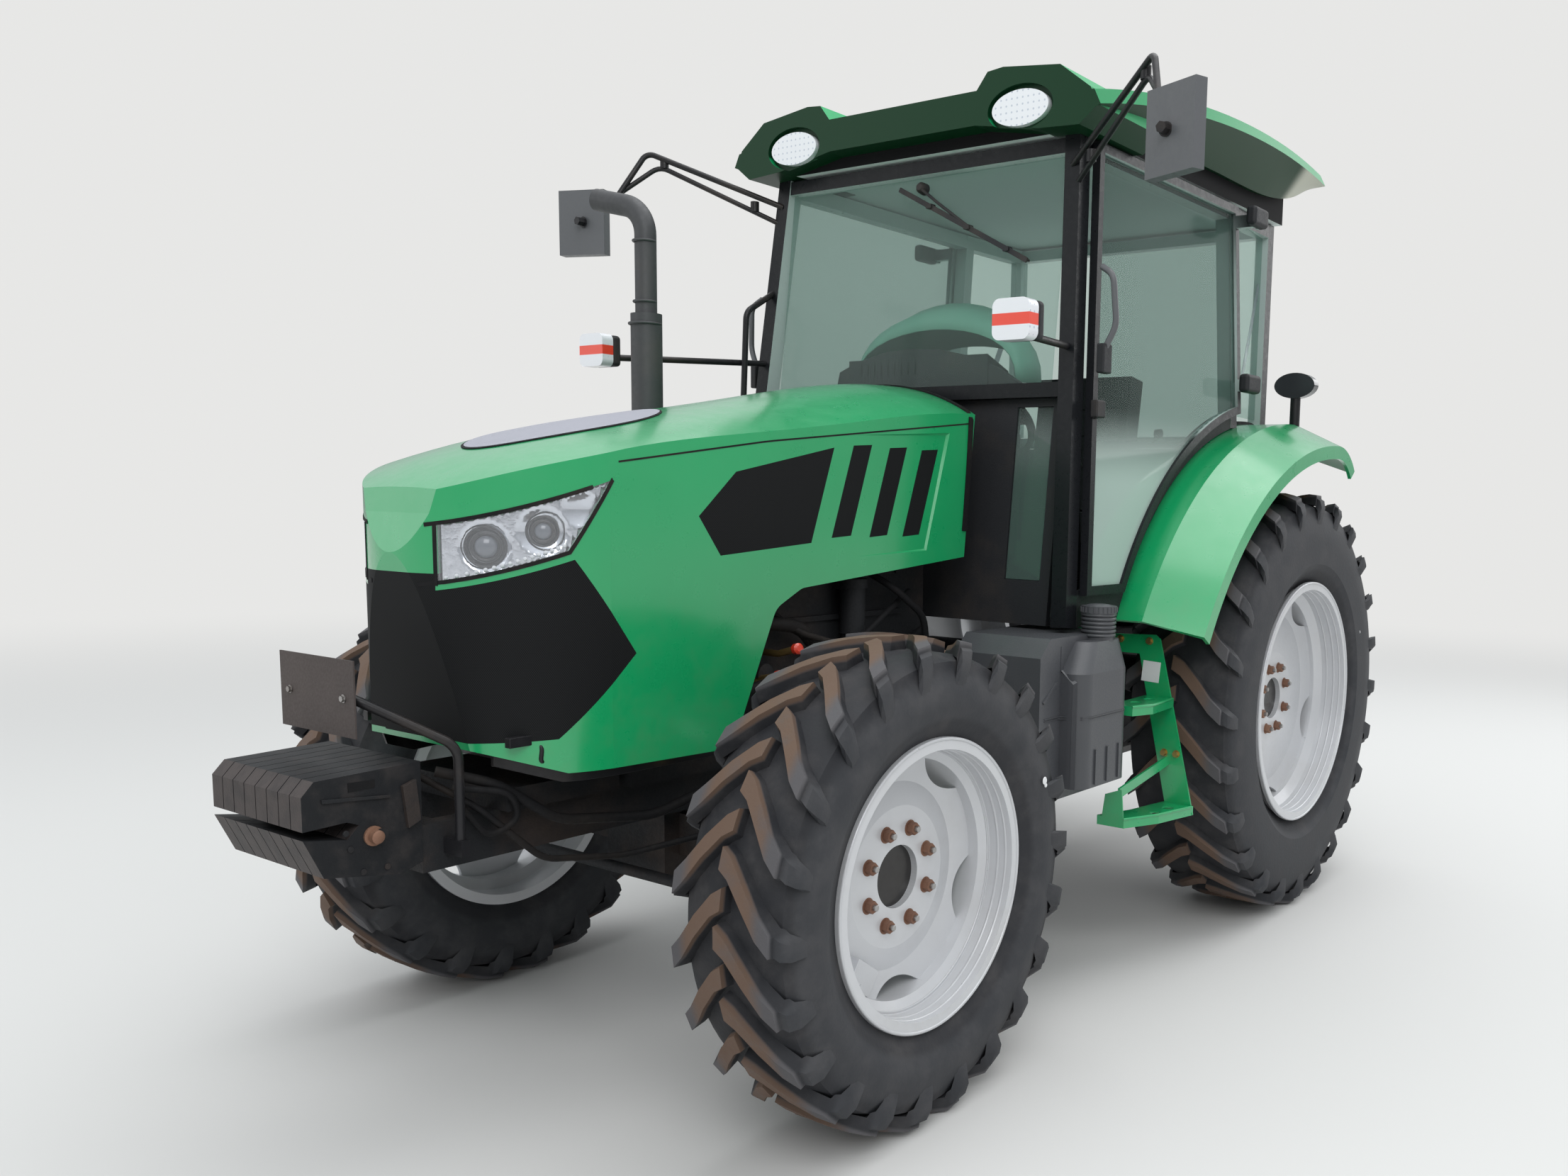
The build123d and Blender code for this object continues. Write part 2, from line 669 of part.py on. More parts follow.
foot_turn = degrees(asin((fender_foot_x - fender_x) / fender_r))
with BuildPart() as fenders:
    for side in SIDES.values():
        for radius, turn in ((fender_r, foot_turn), (tail_r, -tail_turn)):
            hub = (fender_x, 0, fender_crown_z - radius)
            with BuildSketch(Plane(origin=hub, x_dir=(0, side, 0), z_dir=(side, 0, 0))):
                fender_section(radius)
            revolve(axis=Axis(hub, (0, 1, 0)), revolution_arc=turn)
save(fenders, "fenders")

# ---------------------------------------------------------------- cab frame and floor
top_rail_z = cab_top_z - post_size / 2
tub_half = fender_in_y - 4
base_z = floor_z - floor_thick
front_half = side_y(floor_z) - post_size - 12
post_foot_z = fender_crown_z - 33      # in the fender's skin

with BuildPart() as cab_frame:
    for side in SIDES.values():
        top = (a_post_at(cab_top_z), side * post_y(cab_top_z), cab_top_z)
        beam((a_post_at(base_z), side * post_y(base_z), base_z), top, 70, post_size)
        # door and corner posts stand on the fender
        for x, low_y, high_y in ((b_post_x, post_y(fender_crown_z), post_y(cab_top_z)),
                                 (c_post_x, c_post_half_width, c_post_half_width)):
            beam((x, side * low_y, post_foot_z), (x, side * high_y, cab_top_z), post_size, post_size)
        corners = [(a_post_at(top_rail_z), side * post_y(top_rail_z), top_rail_z),
                   (b_post_x, side * post_y(top_rail_z), top_rail_z),
                   (c_post_x, side * c_post_half_width, top_rail_z)]
        for start, stop in zip(corners, corners[1:]):
            beam(start, stop, post_size, post_size, across=(0, 1, 0))
    for x, half, z in ((a_post_at(top_rail_z), post_y(top_rail_z), top_rail_z),
                       (a_post_at(waist_z), post_y(waist_z), waist_z),
                       (c_post_x, c_post_half_width, top_rail_z),
                       (c_post_x, tub_half, rear_waist_z)):
        beam((x, -half, z), (x, half, z), post_size, 50)
    add(fenders.part, mode=Mode.SUBTRACT)
save(cab_frame, "cab_frame")


# Door outline, shared with the sill behind its lower rail.
door_top_z = cab_top_z - 15
door_foot_x = fender_x + sqrt((fender_r + door_lift) ** 2 - (door_foot_z - fender_z) ** 2)
hinge_x = b_post_x + 10
hinge_y = sill_half_width + hinge_offset
lean = Vector(0, side_y(cab_top_z) - side_y(sill_z), cab_top_z - sill_z).normalized()


def up_side(z):
    """Distance up the leaning side from the sill to height z."""
    return (z - sill_z) / lean.Z


def side_plane(side, out=0):
    """Plane of the cab's side, moved outwards; sketches use (x, distance up the side)."""
    inward = Vector(0, -lean.Z, side * lean.Y)
    foot = (0, side * sill_half_width, sill_z)
    return Plane(origin=foot, x_dir=(1, 0, 0), z_dir=inward).offset(-side * out)


def arc_over(lift, back_x, front_x):
    """Arc that far outside the fender's, on the cab's side, from its front end to its back."""
    stations = (front_x, (back_x + front_x) / 2, back_x)
    return ThreePointArc(*[(x, up_side(arch_z(x, -lift))) for x in stations])


def door_outline(inset=0):
    """Door seen from the side: raked front, level top, and an arc over the fender."""
    front = -door_gap - 35
    with BuildLine() as edge:
        arc = arc_over(door_lift, hinge_x, door_foot_x)
        Polyline(arc @ 1, (hinge_x, up_side(door_top_z)),
                 (a_post_at(door_top_z) + front, up_side(door_top_z)),
                 (a_post_at(door_foot_z) + front, up_side(door_foot_z)), arc @ 0)
    make_face(edge.edges())
    if inset:
        offset(amount=-inset, kind=Kind.INTERSECTION)


def arch_wall(z_low, inset, back_x, front_x):
    """Face between a base line and the fender's arc, seen from the side."""
    mid_x = (back_x + front_x) / 2
    with BuildLine() as edge:
        curve = ThreePointArc(*[(x, arch_z(x, inset)) for x in (front_x, mid_x, back_x)])
        Polyline(curve @ 1, (back_x, z_low), (front_x, z_low), curve @ 0)
    make_face(edge.edges())


with BuildPart() as cab_floor:
    block((c_post_x, -tub_half, base_z), (fender_foot_x, tub_half, floor_z))
    block((fender_foot_x, -front_half, base_z), (a_post_at(floor_z) - 40, front_half, floor_z))
    # raked front panel behind the hood, between the front posts
    top = waist_z - 26
    panel_half = side_y(waist_z) - post_size - 2
    upright([(a_post_at(base_z) - 40, base_z), (a_post_at(base_z) - 15, base_z),
             (a_post_at(top) - 15, top), (a_post_at(top) - 40, top)], -panel_half, panel_half)
    for side in SIDES.values():
        # inner wheel arch wall
        with BuildSketch(Plane.XZ.offset(-side * tub_half)) as wall_face:
            arch_wall(base_z, fender_thick + 1, c_post_x + post_size / 2 + 2, fender_foot_x - 20)
        extrude(wall_face.sketch, amount=side * wall)
        # window in the front panel
        upright([(a_post_at(1420) - 80, 1420), (a_post_at(1420) + 20, 1420),
                 (a_post_at(2030) + 20, 2030), (a_post_at(2030) - 80, 2030)],
                side * 500, side * (panel_half - 40), mode=Mode.SUBTRACT)
    block((c_post_x - 50, -tub_half, base_z), (c_post_x + post_size / 2 + 2, tub_half, rear_waist_z - 27))
    block((c_post_x - 25, -tub_half + wall, floor_z),
          (c_post_x + post_size, tub_half - wall, rear_waist_z - 20),
          mode=Mode.SUBTRACT)
    # sill on the fender and the floor, reaching up behind the door's lower rail
    for side in SIDES.values():
        with BuildSketch(side_plane(side, -4)) as sill_face:
            with BuildLine() as edge:
                back = b_post_x + post_size / 2 + 2
                behind_rail = door_lift + 20
                top_x = fender_x + sqrt((fender_r + behind_rail) ** 2 - (door_foot_z + 20 - fender_z) ** 2)
                foot = arc_over(3, back, fender_foot_x)
                cover = arc_over(behind_rail, back, top_x)
                Line(foot @ 1, cover @ 1)
                Polyline(cover @ 0, (a_post_at(door_foot_z) - 40, up_side(door_foot_z + 20)),
                         (a_post_at(base_z) - 47, up_side(base_z)),
                         (fender_foot_x + 4, up_side(base_z)), foot @ 0)
            make_face(edge.edges())
        extrude(sill_face.sketch, amount=side * 20)
save(cab_floor, "cab_floor")

# ---------------------------------------------------------------- roof
roof_front_x = rear_axle_x + 1405
roof_tail_x = rear_axle_x - 660
roof_low_half = 745               # half width along the lower edge
roof_brim_half = 840              # and along the brim
brim_deep = 50
roof_stations = [
    # (x, lower edge, brim's upper edge, height in the middle)
    (roof_front_x, 2965, 3050, 3116), (rear_axle_x + 930, 2990, 3150, 3185),
    (rear_axle_x + 200, 3025, 3228, 3245), (rear_axle_x - 350, 3047, 3229, 3240),
    (roof_tail_x, 3145, 3200, 3206),
]
pod_back_x = rear_axle_x + 950
pod_section = [
    # (y, z) of a lamp pod seen from the front
    (335, 3000), (335, 3110), (385, 3172), (450, 3178), (680, 3150), (800, 3060), (830, 3000), (760, 2946),
    (600, 2955),
]
roof_lamp_y = 522
roof_lamp_z = 3034
roof_lamp_size = (115, 60)        # half width and half height of the oval
lamp_pocket = 24


def facing(x, outline):
    """Flat outline of (y, z) corners at a station."""
    with BuildSketch(Plane(origin=(x, 0, 0), x_dir=(0, 1, 0), z_dir=(1, 0, 0))) as section:
        Polygon(*outline, align=None)
    return section.sketch


def oval(x, y, z, size):
    """Upright oval facing along the machine."""
    with BuildSketch(Plane(origin=(x, y, z), x_dir=(0, 1, 0), z_dir=(1, 0, 0))) as face:
        Ellipse(*size)
    return face.sketch


with BuildPart() as roof:
    sections = []
    for x, low, brim, middle in roof_stations:
        half = [(600, low + 35), (roof_low_half, low), (roof_brim_half, brim - brim_deep),
                (roof_brim_half - 25, brim), (340, middle)]
        sections.append(facing(x, half + [(-y, z) for y, z in reversed(half)]))
    loft(sections)
    for side in SIDES.values():
        pod = facing(pod_back_x, [(side * y, z) for y, z in pod_section])
        extrude(pod, amount=roof_front_x - pod_back_x)
    for side in SIDES.values():
        pocket = oval(roof_front_x - lamp_pocket, side * roof_lamp_y, roof_lamp_z,
                      [r + 18 for r in roof_lamp_size])
        extrude(pocket, amount=2 * lamp_pocket, mode=Mode.SUBTRACT)
    add(cab_frame.part, mode=Mode.SUBTRACT)
save(roof, "roof")

headliner_half = 715
with BuildPart() as headliner:
    block((c_post_x - 60, -headliner_half, cab_top_z + 7), (roof_front_x - 90, headliner_half, 3110))
    add(roof.part, mode=Mode.SUBTRACT)
save(headliner, "headliner")

# ---------------------------------------------------------------- glass
with BuildPart() as cab_glass:
    # windscreen, lower front panes, rear side panes and the rear window
    low, high = waist_z + 28, cab_top_z - post_size - 2
    beam((a_post_at(low), 0, low), (a_post_at(high), 0, high), pane,
         2 * (side_y(high) - post_size - 2))
    for side in SIDES.values():
        upright([(a_post_at(1422) - 30, 1422), (a_post_at(1422) - 22, 1422), (a_post_at(2028) - 22, 2028),
                 (a_post_at(2028) - 30, 2028)], side * 502, side * (side_y(waist_z) - post_size - 42))
        low, high = 2085, cab_top_z - post_size - 2
        beam((b_post_x - 34, side * (post_y(low) - 10), (low + high) / 2),
             (c_post_x + 34, side * c_post_half_width, (low + high) / 2), high - low, pane,
             across=(0, 0, 1))
    block((c_post_x - 4, -c_post_half_width + 32, rear_waist_z + 27),
          (c_post_x + 4, c_post_half_width - 32, cab_top_z - post_size - 2))
save(cab_glass, "cab_glass")

# ---------------------------------------------------------------- doors
hinge_z = (2200, 2870)
hinge_barrel_r = 13
for name, side in SIDES.items():
    outer = door_stand + door_thick
    with BuildPart() as door_frame:
        with BuildSketch(side_plane(side, outer)) as ring:
            door_outline()
        extrude(ring.sketch, amount=side * door_thick)
        with BuildSketch(side_plane(side, outer + 5)) as gap:
            door_outline(inset=door_rail)
        extrude(gap.sketch, amount=side * (door_thick + 10), mode=Mode.SUBTRACT)
        for z in hinge_z:
            rod((hinge_x, side * hinge_y, z - 32), (hinge_x, side * hinge_y, z + 32), hinge_barrel_r)
            block((hinge_x, side * (side_y(z) + outer - door_thick), z - 25),
                  (hinge_x + door_rail, side * (hinge_y + 5), z + 25))
    save(door_frame, f"door_frame_{name}")
    with BuildPart() as door_glass:
        with BuildSketch(side_plane(side, outer - 12)) as sheet:
            door_outline(inset=door_rail)
        extrude(sheet.sketch, amount=side * pane)
    save(door_glass, f"door_glass_{name}")

# ---------------------------------------------------------------- side tanks and steps
tank_in_y = 520
tank_out_y = 860
bulge_out_y = 950
tank_back_x = rear_axle_x + 1250
tank_front_x = rear_axle_x + 1720
tank_top_z = 1250
tank_bottom_z = 700
neck_x = tank_back_x + 110
neck_y = 868
neck_r = 55
with BuildPart() as side_tanks:
    for side in SIDES.values():
        upright([(tank_back_x, tank_bottom_z + 60), (tank_back_x + 60, tank_bottom_z),
                 (tank_front_x - 120, tank_bottom_z), (tank_front_x, tank_bottom_z + 160),
                 (tank_front_x, tank_top_z - 60), (tank_front_x - 60, tank_top_z),
                 (tank_back_x, tank_top_z)], side * tank_in_y, side * tank_out_y)
        # rounded bulge outside, narrower at its shoulder
        with BuildSketch(Plane.XY.offset(tank_bottom_z + 40)) as foot:
            with Locations((tank_back_x + 175, side * (bulge_out_y - 75))):
                RectangleRounded(330, 150, 60)
        extrude(foot.sketch, amount=tank_top_z - tank_bottom_z - 160)
        with BuildSketch(Plane.XY.offset(tank_top_z - 20)) as shoulder:
            with Locations((tank_back_x + 135, side * (bulge_out_y - 85))):
                RectangleRounded(230, 110, 50)
        with BuildSketch(Plane.XY.offset(tank_top_z - 121)) as under_shoulder:
            with Locations((tank_back_x + 175, side * (bulge_out_y - 75))):
                RectangleRounded(330, 150, 60)
        loft([under_shoulder.sketch, shoulder.sketch])
    rod((neck_x, neck_y, tank_top_z - 25), (neck_x, neck_y, tank_top_z + 70), neck_r)
    rod((neck_x, neck_y, tank_top_z + 70), (neck_x, neck_y, tank_top_z + 95), neck_r + 7)
save(side_tanks, "side_tanks")

ladder_x = rear_axle_x + 950      # clear of the rear tyre
ladder_thick = 8
tread_z = 590                     # the lower tread
ladder_front = [
    # (y, z) outline of the hanging plate seen from the front
    (540, base_z), (640, base_z), (660, 1206), (885, 1215), (905, 1200), (1064, tread_z - 32),
    (955, tread_z - 32), (822, 1140), (540, 1140),
]
treads = [
    # (top, plan outline from the back inner corner round)
    (tread_z, [(0, 940), (0, 1062), (200, 1022), (345, 958), (345, 850), (200, 905)]),
    (985, [(0, 850), (0, 966), (200, 984), (292, 950), (292, 862)]),
]
tread_wall = 5
with BuildPart() as steps:
    for side in SIDES.values():
        plate = facing(ladder_x, [(side * y, z) for y, z in ladder_front])
        extrude(plate, amount=ladder_thick)
        for top, outline in treads:
            # a shallow channel open below, with two holes through its top
            for depth, inset in ((34, 0), (34 - tread_wall, tread_wall)):
                with BuildSketch(Plane.XY.offset(top - (depth if not inset else 34))) as tread:
                    Polygon(*[(ladder_x + run, side * y) for run, y in outline], align=None)
                    if inset:
                        offset(amount=-inset, kind=Kind.INTERSECTION)
                extrude(tread.sketch, amount=depth, mode=Mode.SUBTRACT if inset else Mode.ADD)
            for run in (85, 185):
                with Locations((ladder_x + run, side * (outline[0][1] + outline[1][1]) / 2, top)):
                    Cylinder(22, 40, mode=Mode.SUBTRACT)
        # front plate of the lower tread and the brace back to the hanging plate
        front_end = facing(ladder_x + 340, [(side * 865, tread_z - 32), (side * 958, tread_z - 32),
                                            (side * 946, tread_z + 105), (side * 880, tread_z + 80)])
        extrude(front_end, amount=tread_wall)
        beam((ladder_x + 342, side * 935, tread_z + 90), (ladder_x + 4, side * 960, tread_z + 165), 35, 8,
             across=(0, 0, 1))
save(steps, "steps")

# ---------------------------------------------------------------- arms, mirrors, lamps
mirror_x = rear_axle_x + 1740
mirror_y = 1240
mirror_z = 2785
mirror_high = 250
mirror_wide = 200
mirror_turn = 20                  # degrees each head is turned outwards
marker_x = rear_axle_x + 2030
marker_z = 2225
tail_x = rear_axle_x - 300
with BuildPart() as arms:
    for side in SIDES.values():
        bent_tube([(a_post_at(2850) + 30, side * post_y(2850), 2850),
                   (rear_axle_x + 1600, side * 1135, 3055),
                   (mirror_x, side * mirror_y, mirror_z)], 11, 40)
        rod((a_post_at(2230) + 30, side * post_y(2230), 2230), (marker_x - 20, side * 900, 2200), 12)
        rod((tail_x, side * 890, fender_crown_z - 5), (tail_x, side * 890, 2175), 22)
    bent_tube([(a_post_at(2510) + 30, -post_y(2510), 2510), (a_post_at(2430) + 170, -post_y(2430), 2420),
               (a_post_at(2000) + 120, -post_y(2000), 2000),
               (a_post_at(1960) + 30, -post_y(1960), 1960)], 12, 50)
    add(cab_frame.part, mode=Mode.SUBTRACT)
    add(fenders.part, mode=Mode.SUBTRACT)
save(arms, "arms")

with BuildPart() as mirror_heads:
    for side in SIDES.values():
        middle = (mirror_x + 38, side * (mirror_y + 65), mirror_z - 20)
        with Locations(Location(middle, (0, 0, -side * mirror_turn))):
            Box(45, mirror_wide, mirror_high)
    add(arms.part, mode=Mode.SUBTRACT)
save(mirror_heads, "mirror_heads")

tail_lamp_z = 2225
with BuildPart() as lamps:
    for side in SIDES.values():
        upright_face = Plane(origin=(marker_x - 25, side * 935, marker_z), x_dir=(0, 1, 0),
                             z_dir=(1, 0, 0))
        with BuildSketch(upright_face) as face:
            RectangleRounded(130, 120, 25)
        extrude(face.sketch, amount=50)
        roof_lamp = oval(roof_front_x - lamp_pocket, side * roof_lamp_y, roof_lamp_z, roof_lamp_size)
        extrude(roof_lamp, amount=lamp_pocket)
        extrude(oval(tail_x - 25, side * 890, tail_lamp_z, (92, 55)), amount=50)
    add(arms.part, mode=Mode.SUBTRACT)
save(lamps, "lamps")

exhaust_x = rear_axle_x + 2080
exhaust_y = -600
exhaust_feed_z = 1395             # over the front tyre and under the hood's edge
muffler_r = 55
pipe_r = 38
with BuildPart() as exhaust:
    rod((exhaust_x, exhaust_y, exhaust_feed_z - 45), (exhaust_x, exhaust_y, 2330), muffler_r)
    bent_tube([(exhaust_x, exhaust_y, 2320), (exhaust_x, exhaust_y, 2690),
               (exhaust_x + 30, exhaust_y - 220, 2740)], pipe_r, 110)
    rod((exhaust_x, -engine_half_width, exhaust_feed_z), (exhaust_x, exhaust_y, exhaust_feed_z), pipe_r)
save(exhaust, "exhaust")

# ---------------------------------------------------------------- inside the cab
seat_x = rear_axle_x + 250
with BuildPart() as seat:
    block((seat_x - 150, -150, floor_z), (seat_x + 150, 150, floor_z + 230))
    block((seat_x - 250, -250, floor_z + 230), (seat_x + 250, 250, floor_z + 360))
    beam((seat_x - 200, 0, floor_z + 360), (seat_x - 290, 0, floor_z + 960), 110, 480)
save(seat, "seat")

wheel_x = rear_axle_x + 800
wheel_z = floor_z + 720
with BuildPart() as dashboard:
    upright([(rear_axle_x + 1050, floor_z), (a_post_at(floor_z) - 60, floor_z),
             (a_post_at(2080) - 60, 2080), (rear_axle_x + 1290, 2230), (rear_axle_x + 1150, 2180),
             (rear_axle_x + 1080, 1700)], -330, 330)
    beam((rear_axle_x + 1180, 0, 1600), (wheel_x + 60, 0, wheel_z - 60), 90, 90, across=(0, 1, 0))
save(dashboard, "dashboard")

axis_run = Vector(wheel_x - (rear_axle_x + 1180), 0, wheel_z - 1600).normalized()
with BuildPart() as steering_wheel:
    hub = Vector(wheel_x, 0, wheel_z)
    with BuildSketch(Plane(origin=tuple(hub), x_dir=(0, 1, 0), z_dir=axis_run)):
        Circle(205)
        Circle(180, mode=Mode.SUBTRACT)
        Rectangle(380, 30)
        Circle(45)
    extrude(amount=24)
save(steering_wheel, "steering_wheel")

# ---------------------------------------------------------------- rear hitch
# The lift arm, lift rod and lower link form a parallelogram on each side.
link_pivot_x = lift_pivot_x + lift_rod_lean
link_pivot_z = lift_pivot_z - lift_rod_drop
link_end_x = rear_axle_x - hitch_reach + link_ball_r
link_end_z = link_pivot_z - lower_link_drop
link_length = hypot(link_pivot_x - link_end_x, lower_link_drop)
share = lift_arm_length / link_length
arm_run = (-(link_pivot_x - link_end_x) * share, -lower_link_drop * share)
arm_end = (lift_pivot_x + arm_run[0], lift_pivot_z + arm_run[1])
rod_foot = (link_pivot_x + arm_run[0], link_pivot_z + arm_run[1])
link_out_y = lower_link_y + (lower_link_end_y - lower_link_y) * share
rod_wide = 28
arm_wide = 36
rod_y = link_out_y + 20 + rod_wide / 2 + moving_gap
arm_y = rod_y - rod_wide / 2 - moving_gap - arm_wide / 2

with BuildPart() as lift_arms:
    rod((lift_pivot_x, -arm_y - 20, lift_pivot_z), (lift_pivot_x, arm_y + 20, lift_pivot_z), rockshaft_r)
    for side in SIDES.values():
        beam((lift_pivot_x, side * arm_y, lift_pivot_z), (arm_end[0], side * arm_y, arm_end[1]),
             arm_wide, 80, across=(0, 1, 0))
        rod((arm_end[0], side * (arm_y - arm_wide / 2), arm_end[1]),
            (arm_end[0], side * (rod_y + rod_wide / 2 + 8), arm_end[1]), hitch_pin_r)
save(lift_arms, "lift_arms")

with BuildPart() as lift_rods:
    for side in SIDES.values():
        rod((arm_end[0], side * rod_y, arm_end[1]), (rod_foot[0], side * rod_y, rod_foot[1]), 16)
        for end_x, end_z, gap in ((*arm_end, running_gap), (*rod_foot, 1.0)):
            rod((end_x, side * (rod_y - rod_wide / 2), end_z),
                (end_x, side * (rod_y + rod_wide / 2), end_z), 32)
            rod((end_x, side * (rod_y - 40), end_z), (end_x, side * (rod_y + 40), end_z),
                hitch_pin_r + gap, mode=Mode.SUBTRACT)
save(lift_rods, "lift_rods")

with BuildPart() as lower_links:
    for side in SIDES.values():
        beam((link_pivot_x, side * lower_link_y, link_pivot_z),
             (link_end_x, side * lower_link_end_y, link_end_z),
             24, 70, across=(0, 1, 0))
        rod((link_pivot_x, side * (lower_link_y - 30), link_pivot_z),
            (link_pivot_x, side * (lower_link_y + 16), link_pivot_z), 38)
        rod((link_end_x, side * (lower_link_end_y - 28), link_end_z),
            (link_end_x, side * (lower_link_end_y + 28), link_end_z), link_ball_r)
        rod((rod_foot[0], side * link_out_y, rod_foot[1]),
            (rod_foot[0], side * (rod_y + rod_wide / 2 + 8), rod_foot[1]), hitch_pin_r)
        rod((link_pivot_x, side * (lower_link_y - 40), link_pivot_z),
            (link_pivot_x, side * (lower_link_y + 40), link_pivot_z), hitch_pin_r + running_gap,
            mode=Mode.SUBTRACT)
        rod((link_end_x, side * (lower_link_end_y - 40), link_end_z),
            (link_end_x, side * (lower_link_end_y + 40), link_end_z), link_bore_r, mode=Mode.SUBTRACT)
save(lower_links, "lower_links")
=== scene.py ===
"""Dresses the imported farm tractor: finishes, detailed tyres, hood, cab trim, light and camera."""
from math import cos, hypot, pi, radians, sin

import bmesh
import bpy
from mathutils import Matrix, Vector
from mathutils.bvhtree import BVHTree


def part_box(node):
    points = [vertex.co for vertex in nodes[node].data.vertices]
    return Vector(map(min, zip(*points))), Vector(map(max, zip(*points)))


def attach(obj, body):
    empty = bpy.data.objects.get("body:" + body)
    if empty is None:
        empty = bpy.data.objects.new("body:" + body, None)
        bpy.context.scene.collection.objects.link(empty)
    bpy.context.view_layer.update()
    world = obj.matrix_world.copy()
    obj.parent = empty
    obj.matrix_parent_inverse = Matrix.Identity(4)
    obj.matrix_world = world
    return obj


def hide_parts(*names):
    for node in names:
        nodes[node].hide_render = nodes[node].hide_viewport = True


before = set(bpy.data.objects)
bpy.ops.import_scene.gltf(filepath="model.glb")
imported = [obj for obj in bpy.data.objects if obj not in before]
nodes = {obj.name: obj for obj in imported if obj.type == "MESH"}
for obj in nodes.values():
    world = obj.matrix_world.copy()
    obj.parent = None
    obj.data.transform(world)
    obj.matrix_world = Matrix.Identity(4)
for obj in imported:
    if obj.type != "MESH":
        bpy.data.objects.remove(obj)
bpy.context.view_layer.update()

SIDES = {"left": 1, "right": -1}
BOTH = SIDES.values()
rear_x = sum(corner.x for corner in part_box("rear_tyre_left")) / 2  # the middle of the rear axle


# ---- materials
class Shades:
    """Shader nodes of one material or world."""

    def __init__(self, tree):
        self.tree = tree

    def add(self, kind, *values, **named):
        """New node: names set its properties or its inputs, and the values feed its inputs in order."""
        node = self.tree.nodes.new("ShaderNode" + kind)
        for key, value in named.items():
            if hasattr(node, key):
                setattr(node, key, value)
            else:
                self.feed(node.inputs[key.replace("_", " ")], value)
        for socket, value in zip(node.inputs, values):
            self.feed(socket, value)
        return node

    def feed(self, socket, value):
        """Link an output to a socket, or set the socket's own value."""
        if isinstance(value, bpy.types.NodeSocket):
            self.tree.links.new(value, socket)
        else:
            socket.default_value = (*value, 1) if socket.type == "RGBA" else value

    def math(self, operation, *values):
        return self.add("Math", *values, operation=operation).outputs[0]

    def times(self, first, second):
        return self.math("MULTIPLY", first, second)

    def vector(self, operation, *values):
        """Vector, or the number that a length or a dot product gives."""
        node = self.add("VectorMath", *values, operation=operation)
        return node.outputs["Value" if operation in ("LENGTH", "DOT_PRODUCT") else "Vector"]

    def blend(self, share, first, second, end="Material Output"):
        """Feed the end node with two shaders, mixed by a share."""
        join = self.add("MixShader", share, first.outputs[0], second.outputs[0])
        self.feed(self.tree.nodes[end].inputs["Surface"], join.outputs[0])


class Look(Shades):
    """One procedural material on a Principled shader."""

    def __init__(self, name, colour, rough=0.5, metal=0, coat=0, gloss=0.5):
        self.mat = bpy.data.materials.new(name)
        self.mat.use_nodes = True
        super().__init__(self.mat.node_tree)
        self.shader = self.tree.nodes["Principled BSDF"]
        values = {"Base Color": colour, "Roughness": rough, "Metallic": metal, "Specular IOR Level": gloss}
        if coat:
            values |= {"Coat Weight": coat, "Coat Roughness": 0.16}
        for socket, value in values.items():
            self.feed(self.shader.inputs[socket], value)
        self.place = self.add("TexCoord").outputs["Object"]

    def noise(self, scale, detail=4, rough=0.55):
        """Noise over the object's own place, in cycles a metre."""
        return self.add("TexNoise", Vector=self.place, Scale=scale, Detail=detail,
                        Roughness=rough).outputs["Fac"]

    def ramp(self, value, low, high, start=0, stop=1):
        """Value between low and high taken smoothly to start and stop."""
        return self.add("MapRange", value, low, high, start, stop,
                        interpolation_type="SMOOTHSTEP").outputs[0]

    def mix(self, factor, first, second):
        """Colour between two colours or outputs."""
        node = self.add("Mix", factor, data_type="RGBA")
        for socket, value in zip([s for s in node.inputs if s.type == "RGBA"], (first, second)):
            self.feed(socket, value)
        return [s for s in node.outputs if s.type == "RGBA"][0]

    def colour(self, value):
        self.feed(self.shader.inputs["Base Color"], value)

    def rough(self, value):
        self.feed(self.shader.inputs["Roughness"], value)

    def bump(self, height, depth, strength=1):
        """Relief of that depth in metres."""
        node = self.add("Bump", Height=height, Distance=depth, Strength=strength)
        self.feed(self.shader.inputs["Normal"], node.outputs[0])

    def patches(self, amount):
        """Share of dust, in patches up to that amount."""
        return self.ramp(self.noise(3.5, 6, 0.6), 0.45, 0.75, 0, amount)

    def axis(self, letter):
        return self.add("SeparateXYZ", self.place).outputs[letter]

    def within(self, value, low, high, soft=0.001):
        """1 between two numbers and 0 outside them."""
        return self.times(self.ramp(value, low - soft, low + soft),
                          self.ramp(value, high - soft, high + soft, 1, 0))

    def facing(self, direction, low=0.5, high=0.7):
        """1 where the surface looks along a direction of the object at rest."""
        normal = self.add("TexCoord").outputs["Normal"]
        return self.ramp(self.vector("DOT_PRODUCT", normal, direction), low, high)

    def from_axle(self, centre):
        """Distance from a wheel's axle, and distance from the wheel's middle along it."""
        offset = self.vector("SUBTRACT", self.place, centre)
        radius = self.vector("LENGTH", self.vector("MULTIPLY", offset, (1, 0, 1)))
        return radius, self.math("ABSOLUTE", self.add("SeparateXYZ", offset).outputs["Y"])


def worn(name, colour, dust, rough=0.45, metal=0, coat=0, amount=0.5, grain=60, depth=0.0004,
         gloss=0.5):
    """Painted or moulded surface with patchy dust and fine grain."""
    look = Look(name, colour, rough, metal, coat, gloss)
    look.colour(look.mix(look.patches(amount), colour, dust))
    fine = look.noise(grain, 3)
    look.rough(look.ramp(fine, 0.2, 0.8, max(rough - 0.08, 0.03), rough + 0.12))
    look.bump(fine, depth)
    return look.mat


